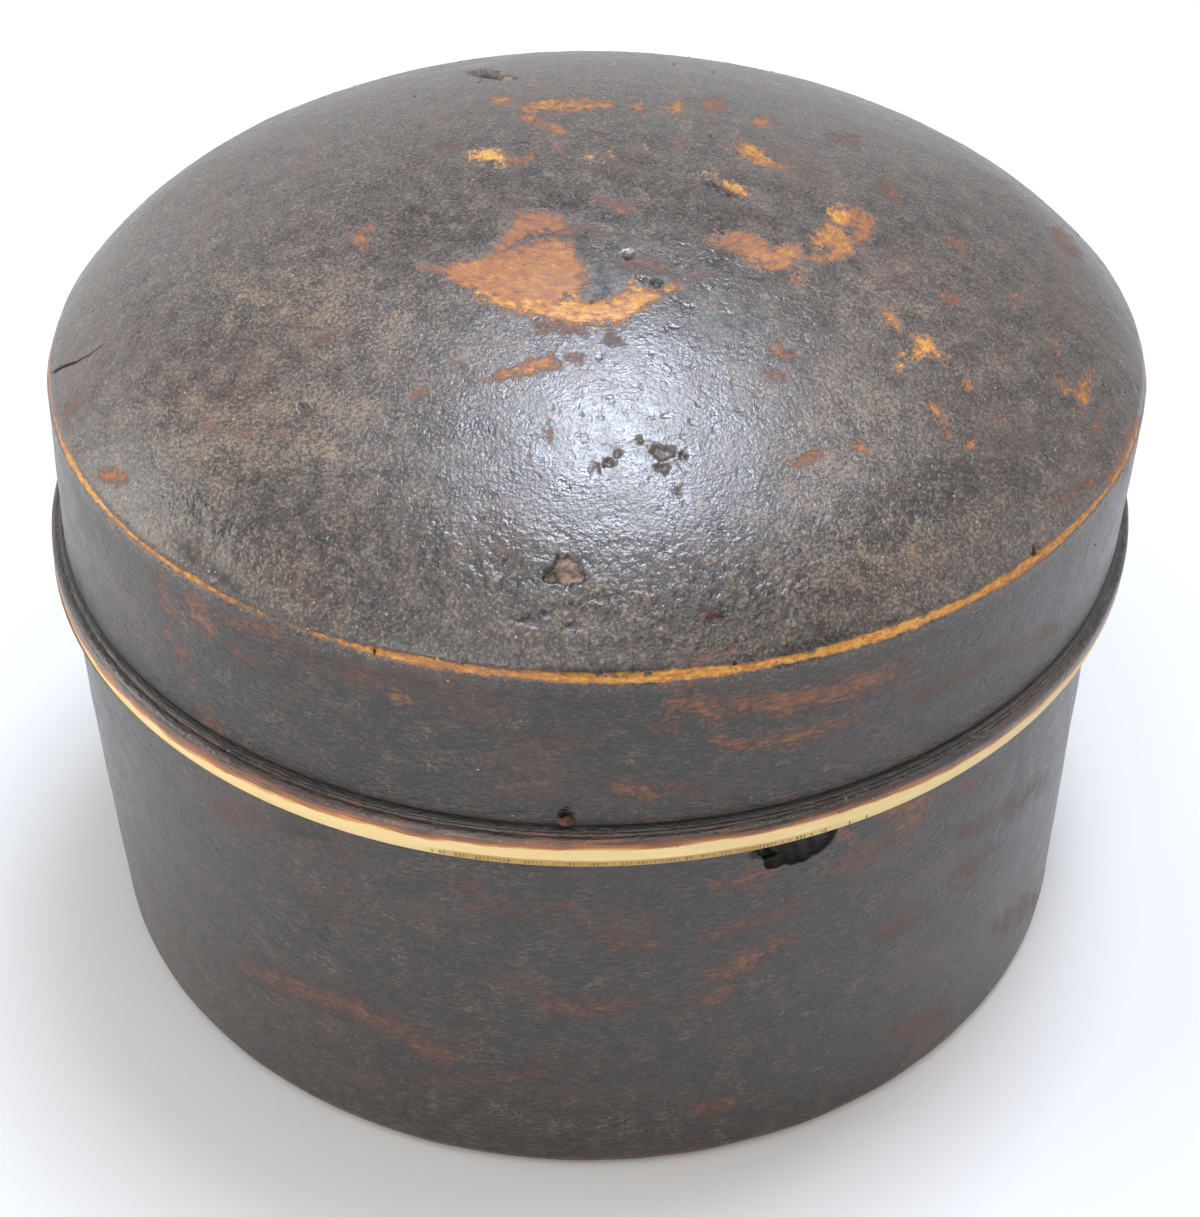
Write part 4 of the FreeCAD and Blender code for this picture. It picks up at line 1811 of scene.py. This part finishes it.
@dataclass(frozen=True)
class Studio:
    """A pale table top under soft lights and a pale surround."""

    floor_reach: float = 4.0
    floor_colour: str = "#d1d1d0"
    floor_drift: str = "#cecdcb"
    surround_colour: str = "#f4f6f9"
    surround_strength: float = 0.31
    lights: tuple[Softbox, ...] = (
        Softbox("key_softbox", (0.13, 0.15, 1.05), 0.3, 9.0, "#dde9ff"),
        Softbox("ceiling", (0.0, 0.2, 2.4), 3.2, 30.0, "#f6f8fc"),
        Softbox("panel_behind", (0.0, 2.2, 0.6), 2.0, 7.6, "#f6f8fc"),
        Softbox("panel_behind_left", (-1.6, 1.6, 0.7), 1.6, 7.5, "#f8f9fc"),
        Softbox("panel_left", (-2.2, 0.0, 0.7), 1.6, 32.0, "#fbfaf7"),
        Softbox("panel_behind_right", (1.6, 1.6, 0.7), 1.6, 3.0, "#f6f8fc"),
        Softbox("panel_right", (2.2, 0.0, 0.7), 1.6, 7.5, "#f8f9fc"),
        Softbox("panel_front", (-1.0, -2.45, 0.9), 1.6, 30.0, "#f8f9fc"),
        Softbox("panel_front_right", (0.75, -1.15, 1.6), 1.3, 7.0, "#fff4ea"),
        Softbox("panel_front_high", (-0.35, -1.5, 2.0), 1.3, 8.0, "#f8f9fc"),
        Softbox("panel_right_high", (1.5, 0.7, 1.8), 1.2, 4.0, "#fff2e6"),
    )

    def build(self) -> None:
        """Makes floor, surround and lights."""
        mesh = bpy.data.meshes.new("table_top")
        corners = ((-1, -1), (1, -1), (1, 1), (-1, 1))
        reach = self.floor_reach
        mesh.from_pydata([(x * reach, y * reach, 0) for x, y in corners], [], [(0, 1, 2, 3)])
        paper = Surface("pale_matt_paper")
        drift = paper.noise(0.3).step(0.3, 0.7)
        colour = paper.blend(drift, self.floor_colour, self.floor_drift)
        mesh.materials.append(paper.finish(colour, 0.9, 0.0))
        show("table_top", mesh)
        world = bpy.data.worlds.new("pale_surround")
        world.use_nodes = True
        inputs = world.node_tree.nodes["Background"].inputs
        inputs["Color"].default_value = linear(self.surround_colour)
        inputs["Strength"].default_value = self.surround_strength
        bpy.context.scene.world = world
        for light in self.lights:
            light.build()
        bpy.context.scene.view_settings.view_transform = "Standard"


def settle(piece: Piece, body: str, *nodes: str) -> None:
    """Lets a finished piece ride on its body and reports it.

    Args:
        piece: the finished piece.
        body: the body that it rides on.
        nodes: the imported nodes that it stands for.
    """
    if nodes:
        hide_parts(*nodes)
    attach(piece, body)
    piece.data.calc_loop_triangles()
    LOG.info("%s: %d triangles, rides on %s", piece.name, len(piece.data.loop_triangles), body)


def main() -> None:
    logging.basicConfig(level=logging.INFO, format="%(name)s: %(message)s")
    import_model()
    view = PhotoView()
    view.make_camera()
    Studio().build()
    shared = Sizes.from_frame(), view, Shrinkage()
    skin = UnevenSkin(Lacquer=OldLacquer().build(), Raw=RawTurnedWood().build())
    grains = ScatteredGrains(Dirt=DryDirt("dry_tan_grit", "#a58a66", "#57432f").build())
    marks = ToolMarks(Dirt=DryDirt("umber_dirt_in_tool_marks", "#a08650", "#7c6236").build())
    crumb = DryDirt("brown_crumb", "#553626", "#2c1c14").build()
    base = Base("base", *shared, BASE_MARKS, BASE_HOLLOWS)
    lid = Lid("lid", *shared, LID_MARKS, LID_HOLLOWS)
    for piece, name in ((base, "lacquered_bowl"), (lid, "lacquered_lid")):
        settle(skin.apply(piece.build(), name), piece.node, piece.node)
    path = lid.tick_path()
    settle(grains.apply(lid.blank, "lid_grit"), "lid")
    settle(marks.apply(path, "flange_tool_marks"), "lid")
    settle(lid.crumb(crumb), "lid")
    for blank in (base.blank, lid.blank, path):
        bpy.data.objects.remove(blank)


if __name__ == "__main__":
    main()
